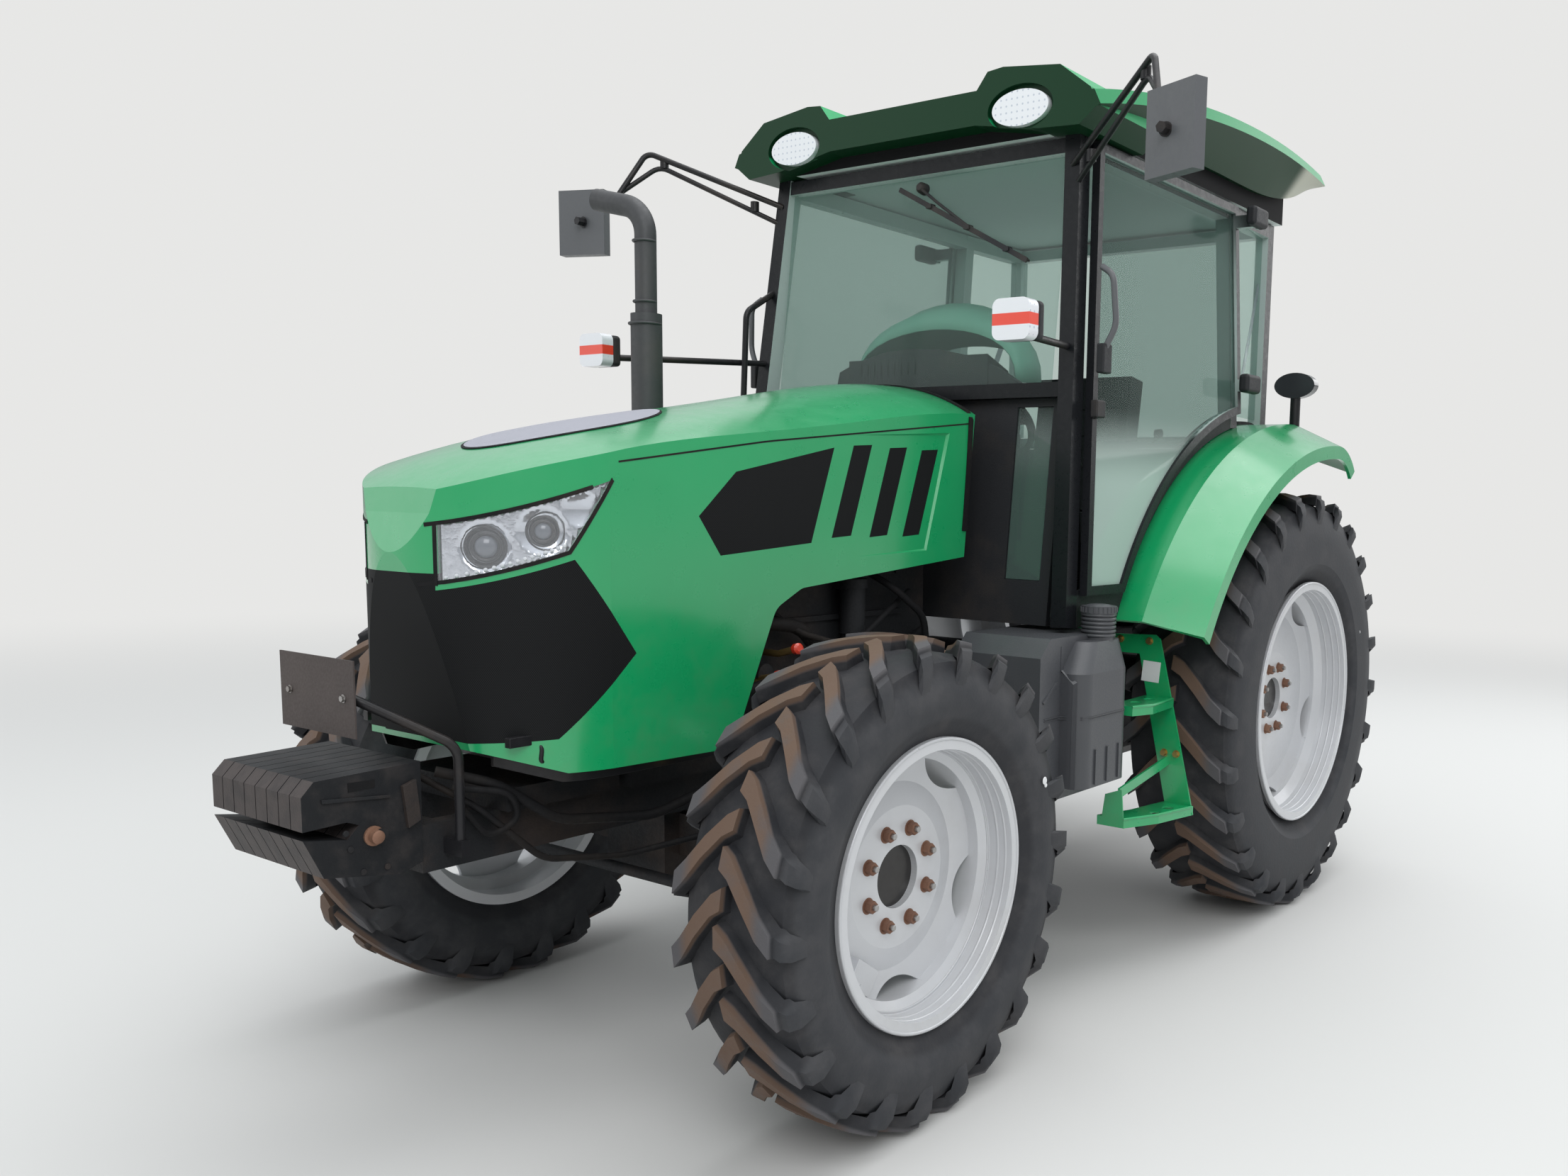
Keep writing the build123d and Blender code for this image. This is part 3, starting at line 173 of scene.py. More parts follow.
GREEN = (0.006, 0.33, 0.11)
DUST = (0.21, 0.15, 0.1)
BROWN = (0.13, 0.085, 0.062)
SILVER = (0.6, 0.61, 0.63)
BACKDROP = (0.8, 0.8, 0.79)
HOLE_SHADE_R = 0.088  # radius of the painted shade that darkens the hole in the middle of a rim's disc
SILL = (1.75, 2.05)  # heights over which the glass's low painted layer (painted shade on the windscreen, painted reflection on the doors) fades upward into its faint painted reflection
MESH_HOLE = 0.007


def paint():
    """Glossy green, with faint flow in the coat and dust that settles towards the ground."""
    look = Look("green_paint", GREEN, 0.32, 0, 1)
    speckle = look.noise(14, 8, 0.65)
    settle = look.times(look.ramp(look.axis("Z"), 0.9, 1.7, 0.1, 0), look.ramp(speckle, 0.4, 0.75))
    brighter = tuple(c * 1.18 for c in GREEN)
    tone = look.mix(look.ramp(look.noise(1.2, 3), 0.35, 0.65, 0, 0.35), GREEN, brighter)
    look.colour(look.mix(settle, tone, DUST))
    look.rough(look.ramp(speckle, 0.3, 0.7, 0.26, 0.4))
    look.bump(look.noise(5, 2), 0.0006, 0.4)
    return look.mat


def tyre_look(name, centre, tread_r, half):
    """Black rubber: brown soil on the inner tops of the lugs, a bluish painted sky reflection on the tops
    of the lugs and a dusty wall.
    """
    look = Look(name, (0.028, 0.029, 0.031), 0.72, gloss=0.25)
    radius, across = look.from_axle(centre)
    patchy = look.noise(9, 7, 0.62)
    top = look.ramp(radius, tread_r - 0.02, tread_r - 0.009)
    soil = look.times(top, look.ramp(across, half * 0.5, half * 0.74, 1, 0.08))
    soil = look.times(soil, look.ramp(patchy, 0.25, 0.5, 0.6, 1))
    wall = look.mix(look.ramp(patchy, 0.35, 0.75), (0.036, 0.038, 0.043), (0.066, 0.066, 0.07))
    tread = look.mix(look.ramp(patchy, 0.4, 0.8), (0.026, 0.027, 0.031), (0.06, 0.058, 0.06))
    # painted highlight: a bluish sky reflection on the tops of the lugs
    tread = look.mix(top, tread, (0.085, 0.086, 0.094))
    base = look.mix(look.ramp(across, half * 0.86, half * 0.93), tread, wall)
    look.colour(look.mix(soil, base, BROWN))
    look.rough(look.ramp(patchy, 0.3, 0.8, 0.55, 0.82))
    look.bump(look.noise(90, 4), 0.0012, 0.7)
    return look.mat


def glass_look(name, tint, reflected_colour, reflection_share, low_painted_colour, low_painted_share):
    """Safety glass: a tint on what is behind it and a faint painted reflection over it. Below the sill the
    painted layer thickens and takes the colour the caller gives: painted shade on the windscreen, painted
    reflection on the doors and lenses.
    """
    look = Look(name, reflected_colour, 0.05)
    height = look.axis("Z")
    # painted colour over the glass: the low painted layer below the sill, the painted reflection above it
    look.colour(look.mix(look.ramp(height, *SILL), low_painted_colour, reflected_colour))
    uneven = look.ramp(look.noise(0.9, 1), 0.3, 0.7, 0.85, 1.15)
    # share of painted light laid over what is seen through, thicker below the sill and uneven
    share = look.times(look.ramp(height, *SILL, low_painted_share, reflection_share), uneven)
    look.blend(share, look.add("BsdfTransparent", Color=tint), look.shader)
    return look.mat


def mesh_look():
    """Fine black mesh with its holes darkened by painted shade, and a light grey painted sky reflection
    where the mesh faces up on the hood's crown.
    """
    look = Look("grille_mesh", (0.014, 0.015, 0.016), 0.6, gloss=0.12)
    run = look.math("SUBTRACT", look.axis("X"), look.math("ABSOLUTE", look.axis("Y")))
    waves = [look.math("SINE", look.times(across, 2 * pi / MESH_HOLE))
             for across in (run, look.axis("Z"), look.axis("Y"))]
    # faces that look up: the crown's oval, which gets the painted sky reflection
    crown = look.facing((0, 0, 1), 0.8, 0.86)
    woven = look.add("Mix", Factor=crown, A=look.times(*waves[:2]), B=look.times(*waves[::2]))
    # holes of the weave, darkened as painted shade behind the mesh
    holes = look.ramp(woven.outputs["Result"], 0, 0.3)
    black = look.mix(holes, (0.012, 0.013, 0.014), (0.004, 0.004, 0.004))
    # light grey painted sky reflection on the crown's mesh, its holes darker with painted shade
    grey = look.mix(holes, (0.42, 0.43, 0.48), (0.2, 0.2, 0.24))
    look.colour(look.mix(crown, black, grey))
    look.bump(holes, 0.001, -0.5)
    return look.mat


def lamp_look():
    """White dotted lenses; the side markers carry a red band and the tail lamps are dark."""
    look = Look("lamp_lenses", (0.8, 0.81, 0.82), 0.2, 0, 0.5)
    x = look.math("SUBTRACT", look.axis("X"), rear_x)
    grid = look.add("TexVoronoi", Vector=look.place, Scale=45, Randomness=0)
    dots = look.ramp(grid.outputs["Distance"], 0.12, 0.2, 1, 0)
    lens = look.mix(dots, (0.78, 0.8, 0.84), (0.5, 0.54, 0.62))
    band = look.times(look.within(x, 1.9, 2.2), look.within(look.axis("Z"), 2.208, 2.242))
    lens = look.mix(band, lens, (0.8, 0.055, 0.025))
    look.colour(look.mix(look.ramp(x, 0, 0.2, 1, 0), lens, (0.035, 0.037, 0.042)))
    return look.mat


def rim_look(name, centre):
    """Silver paint with thin dust, and painted shade on the hole in the middle of the disc."""
    look = Look(name, SILVER, 0.34, 0.25, 0.2)
    silver = look.mix(look.patches(0.22), SILVER, (0.42, 0.4, 0.38))
    # painted shade inside the radius of the hub hole
    disc = look.ramp(look.from_axle(centre)[0], HOLE_SHADE_R - 0.001, HOLE_SHADE_R)
    look.colour(look.mix(disc, (0.014, 0.012, 0.011), silver))
    look.rough(look.ramp(look.noise(60), 0.2, 0.8, 0.28, 0.45))
    return look.mat


def cab_look():
    """Dark posts outside, pale lining on the faces that look into the cab."""
    look = Look("cab_posts", (0.022, 0.024, 0.027), 0.3, gloss=0.2)
    inward = look.vector("NORMALIZE", look.vector("SUBTRACT", (rear_x + 0.45, 0, 2.35), look.place))
    inner = look.times(look.facing(inward, 0.35, 0.45), look.ramp(look.axis("Z"), 1.95, 2))
    grain = look.noise(60, 3)
    look.colour(look.mix(inner, (0.01, 0.011, 0.013), (0.46, 0.55, 0.53)))
    look.rough(look.ramp(grain, 0.2, 0.8, 0.24, 0.4))
    look.bump(grain, 0.0003)
    return look.mat


def weight_look():
    """Black castings, browned by dust on their front ends."""
    look = Look("cast_weights", (0.03, 0.031, 0.034), 0.5, gloss=0.2)
    patchy = look.noise(18, 6)
    front = look.times(look.facing((1, 0, 0)), look.ramp(patchy, 0.3, 0.6, 0.6, 1))
    tone = look.mix(look.ramp(patchy, 0.4, 0.8), (0.014, 0.015, 0.017), (0.034, 0.031, 0.031))
    look.colour(look.mix(front, tone, (0.06, 0.05, 0.048)))
    look.bump(look.noise(140, 3), 0.0008, 0.8)
    return look.mat


def roof_look():
    """The green paint on top, with painted shade in a darker green on the faces that don't look up, and
    pale under the tail.
    """
    look = Look("roof_paint", GREEN, 0.4, 0, 0, 0.25)
    sky = look.facing((0, 0, 1), 0.25, 0.55)
    tail = look.times(look.facing((0, 0, -1), 0.5, 0.7),
                      look.ramp(look.axis("X"), rear_x - 0.45, rear_x - 0.35, 1, 0))
    # painted shade: a darker green on the faces that don't look up
    tone = look.mix(sky, (0.002, 0.034, 0.011), GREEN)
    look.colour(look.mix(tail, tone, (0.52, 0.53, 0.45)))
    look.bump(look.noise(5, 2), 0.0006, 0.4)
    return look.mat


def lining_look():
    """Pale cloth where the headliner faces down into the cab, black at its edges."""
    look = Look("headliner_cloth", (0.4, 0.46, 0.45), 0.8, gloss=0.2)
    look.colour(look.mix(look.facing((0, 0, -1), 0.6, 0.8), (0.006, 0.006, 0.007), (0.7, 0.77, 0.76)))
    look.bump(look.noise(300, 3), 0.0006)
    return look.mat


LOOKS = {
    "green": paint(),
    "roof": roof_look(),
    "cab": cab_look(),
    "plastic": worn("moulded_black", (0.02, 0.021, 0.024), DUST, 0.55, amount=0.12, grain=180, gloss=0.3),
    "tank": worn("tank_grey", (0.06, 0.063, 0.07), (0.1, 0.1, 0.11), 0.42, 0, 0.15, 0.35, 160),
    "mirror": worn("mirror_grey", (0.1, 0.105, 0.113), (0.14, 0.14, 0.15), 0.45, 0, 0.1, 0.3),
    "lining": lining_look(),
    "pipe": worn("exhaust_grey", (0.06, 0.062, 0.066), (0.11, 0.095, 0.085), 0.5, 0.3, 0, 0.35),
    # lavender painted highlight for the strips beside the windscreen
    "post_highlight": worn("painted_highlight_lavender", (0.36, 0.37, 0.42), (0.42, 0.43, 0.47), 0.3, 0, 0.2, 0.3),
    "bulb": worn("projector_glass", (0.1, 0.11, 0.13), (0.3, 0.3, 0.32), 0.06, 0, 1, 0.1),
    "orange": worn("orange_reflector", (0.62, 0.13, 0.035), (0.5, 0.12, 0.05), 0.25, 0, 0.5, 0.2),
    "weights": weight_look(),
    "black": worn("satin_black", (0.012, 0.012, 0.014), DUST, 0.4, 0, 0.1, 0.12, gloss=0.3),
    "iron": worn("dusty_iron", (0.016, 0.017, 0.019), BROWN, 0.6, 0, 0, 0.28, 120, 0.001, 0.25),
    "steel": worn("worn_steel", (0.42, 0.41, 0.4), BROWN, 0.35, 1, 0, 0.4),
    "silver": worn("rim_silver", (0.56, 0.57, 0.59), (0.4, 0.38, 0.36), 0.34, 0.25, 0.2, 0.22),
    "rust": worn("rusty_nuts", (0.23, 0.12, 0.08), (0.42, 0.26, 0.17), 0.6, 0.5, 0, 0.6, 300),
    "brass": worn("zinc_yellow", (0.55, 0.38, 0.14), BROWN, 0.35, 0.9, 0, 0.3, 200),
    "plate": worn("blank_plate", (0.064, 0.052, 0.049), (0.085, 0.07, 0.065), 0.6, 0, 0, 0.6, 140,
                  0.0005, 0.3),
    "mesh": mesh_look(),
    # windscreen: a faint pale painted reflection above the sill, and a dark painted shade laid thickly over
    # the pane below it
    "glass": glass_look("windscreen_glass", (0.81, 0.87, 0.85), (0.46, 0.54, 0.52), 0.08,
                        (0.11, 0.17, 0.15), 0.65),
    # door glass: a painted reflection, faint above the sill and pale and thick on the lower pane
    "door_glass": glass_look("door_glass", (0.62, 0.69, 0.67), (0.33, 0.42, 0.39), 0.08,
                             (0.46, 0.6, 0.54), 0.85),
    # lamp lens: an even pale painted reflection over the lamp
    "lens": glass_look("lamp_lens", (0.96, 0.97, 0.99), (0.85, 0.87, 0.9), 0.16, (0.85, 0.87, 0.9), 0.16),
    "seat": worn("seat_cloth", (0.02, 0.02, 0.022), (0.05, 0.05, 0.055), 0.9, 0, 0, 0.3, 400, 0.0008),
    "mint": worn("mint_panel", (0.24, 0.5, 0.4), (0.32, 0.56, 0.46), 0.5, 0, 0.1, 0.3),
    "white": worn("blank_white", (0.72, 0.73, 0.74), (0.6, 0.6, 0.62), 0.4, 0, 0, 0.3, 90),
    "lamps": lamp_look(),
    "red": worn("lens_red", (0.62, 0.045, 0.018), (0.5, 0.05, 0.03), 0.25, 0, 0.5, 0.2),
    "chrome": worn("reflector", (0.72, 0.74, 0.78), (0.5, 0.5, 0.52), 0.12, 1, 0, 0.2),
    "core": worn("radiator_core", (0.1, 0.1, 0.11), DUST, 0.5, 0.6, 0, 0.3),
    "rubber": worn("seal_rubber", (0.008, 0.008, 0.009), DUST, 0.7, amount=0.08, gloss=0.2),
}
NODE_LOOKS = {
    "green": "hood_shell fenders steps", "roof": "roof", "mirror": "mirror_heads", "lens": "headlights",
    "cab": "cab_frame door_frame_left door_frame_right", "plastic": "cab_floor dashboard",
    "tank": "side_tanks", "lining": "headliner", "pipe": "exhaust", "weights": "front_weights",
    "black": "arms plate_bracket drawbar lift_arms lower_links", "steel": "pto_shaft lift_rods",
    "iron": "engine_block transmission front_axle front_support knuckle_left knuckle_right fuel_filter "
            "track_rod",
    "plate": "number_plate", "mesh": "grilles", "glass": "cab_glass", "seat": "seat", "lamps": "lamps",
    "door_glass": "door_glass_left door_glass_right", "core": "radiator", "rubber": "steering_wheel",
}


def finish_with(obj, look):
    """Give an object one finish."""
    obj.data.materials.clear()
    obj.data.materials.append(look)


def wheel_box(member):
    """Middle, radius and half width of a round piece whose axle runs across."""
    low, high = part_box(member)
    return (low + high) / 2, (high.z - low.z) / 2, (high.y - low.y) / 2


for look, members in NODE_LOOKS.items():
    for member in members.split():
        finish_with(nodes[member], LOOKS[look])
for member in (f"{end}_rim_{name}" for end in ("front", "rear") for name in SIDES):
    finish_with(nodes[member], rim_look(f"{member}_silver", wheel_box(member)[0]))


# ---- mesh helpers
SHARP, PIECE_SHARP = 32, 35  # degrees above which edges of the frame's and of new pieces are rounded


def placed(name, bm):
    """Object in the scene from a bmesh."""
    mesh = bpy.data.meshes.new(name)
    bm.to_mesh(mesh)
    bm.free()
    obj = bpy.data.objects.new(name, mesh)
    bpy.context.scene.collection.objects.link(obj)
    return obj


def smooth_up_to(mesh, angle):
    """Smooth shading, sharp where faces meet at more than an angle."""
    for face in mesh.polygons:
        face.use_smooth = True
    mesh.set_sharp_from_angle(angle=radians(angle))


def round_edges(obj, width, segments, angle):
    """Rounding on the edges that turn by more than an angle."""
    rounding = obj.modifiers.new("edges", "BEVEL")
    rounding.width = width
    rounding.segments = segments
    rounding.limit_method = "ANGLE"
    rounding.angle_limit = radians(angle)
    rounding.harden_normals = True


def piece(name, bm, look, smooth=40, bevel=0, segments=2, body="chassis"):
    """Object from a bmesh, finished, smoothed up to an angle, and carried by a body."""
    bmesh.ops.recalc_face_normals(bm, faces=bm.faces)
    obj = placed(name, bm)
    smooth_up_to(obj.data, smooth)
    finish_with(obj, LOOKS[look])
    if bevel:
        round_edges(obj, bevel, segments, PIECE_SHARP)
    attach(obj, body)
    return obj


def skin(bm, rings, closed=True, caps=True):
    """Faces between successive rings of points."""
    made = [[bm.verts.new(p) for p in ring] for ring in rings]
    for first, second in zip(made, made[1:]):
        count = len(first)
        for i in range(count if closed else count - 1):
            j = (i + 1) % count
            bm.faces.new((first[i], first[j], second[j], second[i]))
    if caps:
        bm.faces.new(made[0][::-1])
        bm.faces.new(made[-1])


def looped(bm, rings):
    """Faces between rings that come back to the first one."""
    skin(bm, rings + [rings[0]], caps=False)
    bmesh.ops.remove_doubles(bm, verts=bm.verts, dist=1e-6)


def circle(centre, first, second, radius, count):
    """Points of a circle in the plane of two directions."""
    turns = [2 * pi * i / count for i in range(count)]
    return [centre + radius * (first * cos(a) + second * sin(a)) for a in turns]


def around(centre, axis, radius, count):
    """Points of a circle about an axis through a centre."""
    first = axis.orthogonal().normalized()
    return circle(centre, first, axis.cross(first), radius, count)


def turned(bm, centre, axis, profile, count=48):
    """Turned piece from (distance along the axis, radius) corners."""
    axis = Vector(axis).normalized()
    skin(bm, [around(centre + axis * along, axis, radius, count) for along, radius in profile])


def box_at(bm, one, other):
    """Box between two opposite corners."""
    ends = [sorted(pair) for pair in zip(one, other)]
    for v in bmesh.ops.create_cube(bm, size=1)["verts"]:
        v.co = [low + (v.co[i] + 0.5) * (high - low) for i, (low, high) in enumerate(ends)]


# ---- tyres
LUG_HEIGHT = 0.038
TYRE_STEPS = 96
# a lug as stations: (share across, drop of the tip, width of the tip, share of the lean)
LUG = ((-0.05, 0, 0.054, 0), (0.12, 0, 0.054, 0.1), (0.4, 0, 0.055, 0.4),
       (0.66, 0.002, 0.056, 0.72), (0.86, 0.007, 0.056, 0.9), (0.875, 0.022, 0.05, 0.91),
       (0.95, 0.03, 0.05, 0.97), (1, 0.06, 0.044, 1.03), (0.985, 0.105, 0.034, 1.08))


def tyre_piece(end, name, lugs, lean, rim_r):
    """Tyre with curved bar lugs that meet in a chevron."""
    node = f"{end}_tyre_{name}"
    centre, tread_r, half = wheel_box(node)
    base_r = tread_r - LUG_HEIGHT
    profile = [(-half * 0.72, rim_r - 0.012), (-half * 0.8, rim_r + 0.02), (-half * 0.97, rim_r + 0.075),
               (-half * 0.985, (rim_r + base_r) / 2), (-half * 0.95, base_r - 0.075),
               (-half * 0.84, base_r - 0.022), (-half * 0.6, base_r - 0.004), (0, base_r)]
    profile += [(-y, r) for y, r in reversed(profile[:-1])]
    profile += [(half * 0.66, rim_r - 0.012), (-half * 0.66, rim_r - 0.012)]
    bm = bmesh.new()
    turns = [2 * pi * i / TYRE_STEPS for i in range(TYRE_STEPS)]
    rings = [[centre + Vector((r * cos(a), y, r * sin(a))) for y, r in profile] for a in turns]
    looped(bm, rings)
    for k in range(lugs):
        for side in BOTH:
            turn = 2 * pi * (k + (0.5 if side < 0 else 0)) / lugs
            rings = []
            for across, drop, width, share in LUG:
                y = side * across * half
                tip = tread_r - drop
                foot = min(tip - 0.004, base_r - 0.006 - drop * 0.9)
                half_top = width / 2 / tread_r
                half_foot = half_top + 0.011 / tread_r
                inward = 0.012 * max(0, across - 0.9) / 0.1
                corner = []
                for spread, radius, pull in ((-half_foot, foot, inward), (-half_top, tip, 0),
                                             (half_top, tip, 0), (half_foot, foot, inward)):
                    a = turn + share * lean + spread
                    corner.append(centre + Vector((radius * cos(a), y - side * pull, radius * sin(a))))
                rings.append(corner)
            skin(bm, rings)
    LOOKS[node] = tyre_look(f"{end}_lugged_tyre_{name}_rubber", centre, tread_r, half)
    made = piece(f"{end}_lugged_tyre_{name}", bm, node, 30, body=f"{end}_wheel_{name}")
    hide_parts(node)


TYRES = {"front": (22, -0.3, 0.403), "rear": (24, -0.24, 0.508)}  # lugs, their lean, rim radius
for end, (lugs, lean, rim_r) in TYRES.items():
    for name in SIDES:
        tyre_piece(end, name, lugs, lean, rim_r)


# ---- mesh helpers for the details
def rounded(points, bend, steps=5):
    """Path through points with its inner corners rounded."""
    path = points[:1]
    for before, here, after in zip(points, points[1:], points[2:]):
        first = here + (before - here).normalized() * bend
        last = here + (after - here).normalized() * bend
        for t in [k / steps for k in range(steps + 1)]:
            path.append((1 - t) ** 2 * first + 2 * t * (1 - t) * here + t ** 2 * last)
    return path + points[-1:]


def runs_of(path):
    """Direction of a path at each of its points."""
    return [(after - before).normalized() for before, after in zip(path[:1] + path, path[1:] + path[-1:])]


def tube(bm, path, radius, count=12, bend=0):
    """Round tube along a path, its section carried on without twist."""
    path = rounded(path, bend) if bend else path
    rings = []
    side = None
    for here, run in zip(path, runs_of(path)):
        side = run.orthogonal() if side is None else side - side.dot(run) * run
        side.normalize()
        rings.append(circle(here, side, run.cross(side), radius, count))
    skin(bm, rings)


def slab(bm, outline, push):
    """Prism from a flat outline pushed along a vector."""
    push = Vector(push)
    skin(bm, [outline, [p + push for p in outline]])


def dome(bm, centre, axis, radius, height, count=24, rings=4):
    """Shallow cap on a round foot."""
    turns = [k / rings * pi / 2 * 0.96 for k in range(1, rings + 1)]
    turned(bm, centre, axis, [(0, radius)] + [(height * sin(a), radius * cos(a)) for a in turns], count)


def hex_head(bm, centre, axis, across, height):
    """Hexagon head with a small washer."""
    washer = 0.002
    turned(bm, centre, axis, [(0, across * 0.72), (washer, across * 0.72)], 20)
    turned(bm, centre + Vector(axis).normalized() * washer, axis,
           [(0, across * 0.56), (height, across * 0.56)], 6)


def at(x, y, z):
    """Point given from the middle of the rear axle on the ground."""
    return Vector((rear_x + x, y, z))


def skin_of(*names):
    """Search tree over frame pieces, for details that lie on their surface."""
    merged = bmesh.new()
    for name in names:
        merged.from_mesh(nodes[name].data)
    tree = BVHTree.FromBMesh(merged)
    merged.free()
    return tree


def strike(tree, start, toward):
    """First point of a surface from start, or None."""
    return tree.ray_cast(start, Vector(toward))[0]


def lying(tree, start, toward, lift=0):
    """First point of a surface from start, lifted off it, and the surface's normal."""
    hit, normal, _, _ = tree.ray_cast(start, Vector(toward).normalized())
    return hit + normal * lift, normal


def strip(bm, found, wide, thick):
    """Flat bar along a surface, from its points with their normals."""
    rings = []
    for (here, normal), run in zip(found, runs_of([spot for spot, _ in found])):
        across = run.cross(normal).normalized() * (wide / 2)
        top = normal.normalized() * thick
        rings.append([here - across, here + across, here + across + top, here - across + top])
    skin(bm, rings)


def seam(bm, tree, starts, toward, wide, thick):
    """Strip on a surface, seen along a direction from a row of starting points."""
    found = [lying(tree, start, toward) for start in starts if strike(tree, start, toward)]
    strip(bm, found, wide, thick)


def ring(bm, centre, axis, radius, thick, count=96, sides=8):
    """Round bead that runs about an axis."""
    axis = Vector(axis).normalized()
    rings = []
    for arm in around(Vector(), axis, 1, count):
        rings.append([centre + arm * (radius + thick * cos(2 * pi * i / sides))
                      + axis * (thick * sin(2 * pi * i / sides)) for i in range(sides)])
    looped(bm, rings)


# ---- edges of the frame's own pieces
# width of the rounding and the pieces that have it
EDGES = {
    0.001: "number_plate plate_bracket", 0.002: "steps",
    0.003: "door_frame_left door_frame_right drawbar lower_links radiator cab_floor",
    0.004: "lift_arms", 0.005: "cab_frame front_support knuckle_left knuckle_right",
    0.006: "front_weights front_axle engine_block", 0.007: "hood_shell", 0.008: "roof transmission",
    0.01: "side_tanks lamps", 0.012: "dashboard", 0.014: "mirror_heads", 0.02: "fenders", 0.03: "seat",
}
for obj in nodes.values():
    smooth_up_to(obj.data, SHARP)
for width, members in EDGES.items():
    for member in members.split():
        round_edges(nodes[member], width, 2, SHARP)


# ---- wheels
NUTS = 8
NUT_CIRCLE_R = 0.1375
CHALK_TURN = 156  # degrees round the wheel


def wheel_details(end, name, side):
    """Nuts, studs, rolled ridges, weld-on block and chalk mark of one wheel."""
    centre, rim_r, half = wheel_box(f"{end}_rim_{name}")
    out = Vector((0, side, 0))
    tree = skin_of(f"{end}_rim_{name}")
    body = f"{end}_wheel_{name}"

    def beside(a, r):
        return centre + Vector((r * cos(a), 0, r * sin(a))) + out * 0.4

    bm, studs = bmesh.new(), bmesh.new()
    for k in range(NUTS):
        foot = strike(tree, beside(2 * pi * (k + 0.5) / NUTS, NUT_CIRCLE_R), -out)
        hex_head(bm, foot - out * 0.001, out, 0.032, 0.02)
        turned(studs, foot + out * 0.018, out, [(0, 0.0085), (0.014, 0.0085), (0.016, 0.006)], 12)
    piece(f"{end}_wheel_nuts_{name}", bm, "rust", 30, body=body)
    piece(f"{end}_wheel_studs_{name}", studs, "steel", 30, body=body)

    bm = bmesh.new()
    ring(bm, centre + out * (half - 0.001), out, rim_r - 0.005, 0.0055)
    for back, thick in ((0.022, 0.0045), (0.048, 0.0055), (0.08, 0.0045)):
        here = centre + out * (half - back)
        wall = strike(tree, here + Vector((0, 0, 0.2)), (0, 0, 1))
        ring(bm, here, out, wall.z - centre.z + thick * 0.35, thick)
    a = radians(-54 if side > 0 else -90)  # between two openings of the disc
    spoke, tangent = Vector((cos(a), 0, sin(a))), Vector((-sin(a), 0, cos(a)))
    disc = strike(tree, beside(a, rim_r - 0.105), -out)
    corners = ((-0.045, -0.05), (0.03, -0.05), (0.03, 0.05), (-0.045, 0.05))
    slab(bm, [disc + spoke * r + tangent * t for r, t in corners], out * 0.032)
    piece(f"{end}_rim_ridges_{name}", bm, "silver", 40, 0.003, body=body)

    wall = skin_of(f"{end}_tyre_{name}")
    bm = bmesh.new()
    for step, wide in ((0, 0.012), (0.03, 0.007)):
        spot, normal = lying(wall, beside(radians(CHALK_TURN) + step, rim_r + 0.12), -out, 0.004)
        turned(bm, spot, normal, [(0, wide), (0.002, wide * 0.8)], 12)
    piece(f"{end}_chalk_mark_{name}", bm, "white", body=body)


for name, side in SIDES.items():
    wheel_details("front", name, side)
    wheel_details("rear", name, side)


# ---- hood
hood_tree = skin_of("hood_shell", "grilles", "headlights")
CREASE = [(1.44, 1.992), (2.51, 1.876), (3.069, 1.796)]  # station, height of the side crease
CROWN_X, CROWN_LONG, CROWN_WIDE = 2.9, 0.302, 0.192  # oval edging of the crown mesh


def between(pairs, x):
    """Value at x along straight runs between (x, value) pairs."""
    for (x0, v0), (x1, v1) in zip(pairs, pairs[1:]):
        if x <= x1:
            return v0 + (v1 - v0) * (x - x0) / (x1 - x0)


def along(points, step=0.03):
    """Points at even steps along straight runs."""
    made = []
    for first, last in zip(points, points[1:]):
        count = max(1, round((last - first).length / step))
        made += [first.lerp(last, k / count) for k in range(count)]
    return made + points[-1:]


def hood_seams():
    """Dark joint under the crease, edging of the lamps and of the crown mesh, and the rear seal."""
    bm = bmesh.new()
    for side in BOTH:
        starts = [at(x, side, between(CREASE, x) - 0.02) for x in [1.53 + 0.04 * k for k in range(39)]]
        seam(bm, hood_tree, starts, (0, -side, 0), 0.005, 0.0008)
        for run in ([(3.07, 1.732), (3.187, 1.548), (3.432, 1.463)], [(3.07, 1.732), (3.425, 1.612)]):
            seam(bm, hood_tree, along([at(x, side, z) for x, z in run]), (0, -side, 0), 0.01, 0.002)
        starts = along([at(4, side * 0.152, 1.462), at(4, side * 0.152, 1.612)])
        seam(bm, hood_tree, starts, (-1, 0, 0), 0.01, 0.002)
    turns = [2 * pi * k / 72 for k in range(73)]
    starts = [at(CROWN_X + CROWN_LONG * cos(a), CROWN_WIDE * sin(a), 2.5) for a in turns]
    seam(bm, hood_tree, starts, (0, 0, -1), 0.009, 0.003)
    piece("hood_joints", bm, "rubber", 50, body="hood")

    bm = bmesh.new()
    found = []
    for k in range(61):
        a = radians(-4 + 188 * k / 60)
        height = 1.62 + 0.4 * sin(a)
        arm = Vector((0, cos(a), sin(a)))
        start = at(1.515 + 0.1 * max(0, 1.99 - height), 0, 1.62) + 1.5 * arm
        if strike(hood_tree, start, -arm):
            found.append(lying(hood_tree, start, -arm))
    strip(bm, found, 0.022, 0.006)
    piece("hood_rear_seal", bm, "rubber", 50, body="hood")


FLUTE, FLUTE_DEEP = 0.014, 0.0016  # flutes of the reflector sheet
SHEET_BACK = 0.014  # from the lens back to the sheet
COLUMNS, ROWS = 110, 60  # mesh of the sheet, over its half sizes
HALF_WIDE, HALF_HIGH = 0.26, 0.16


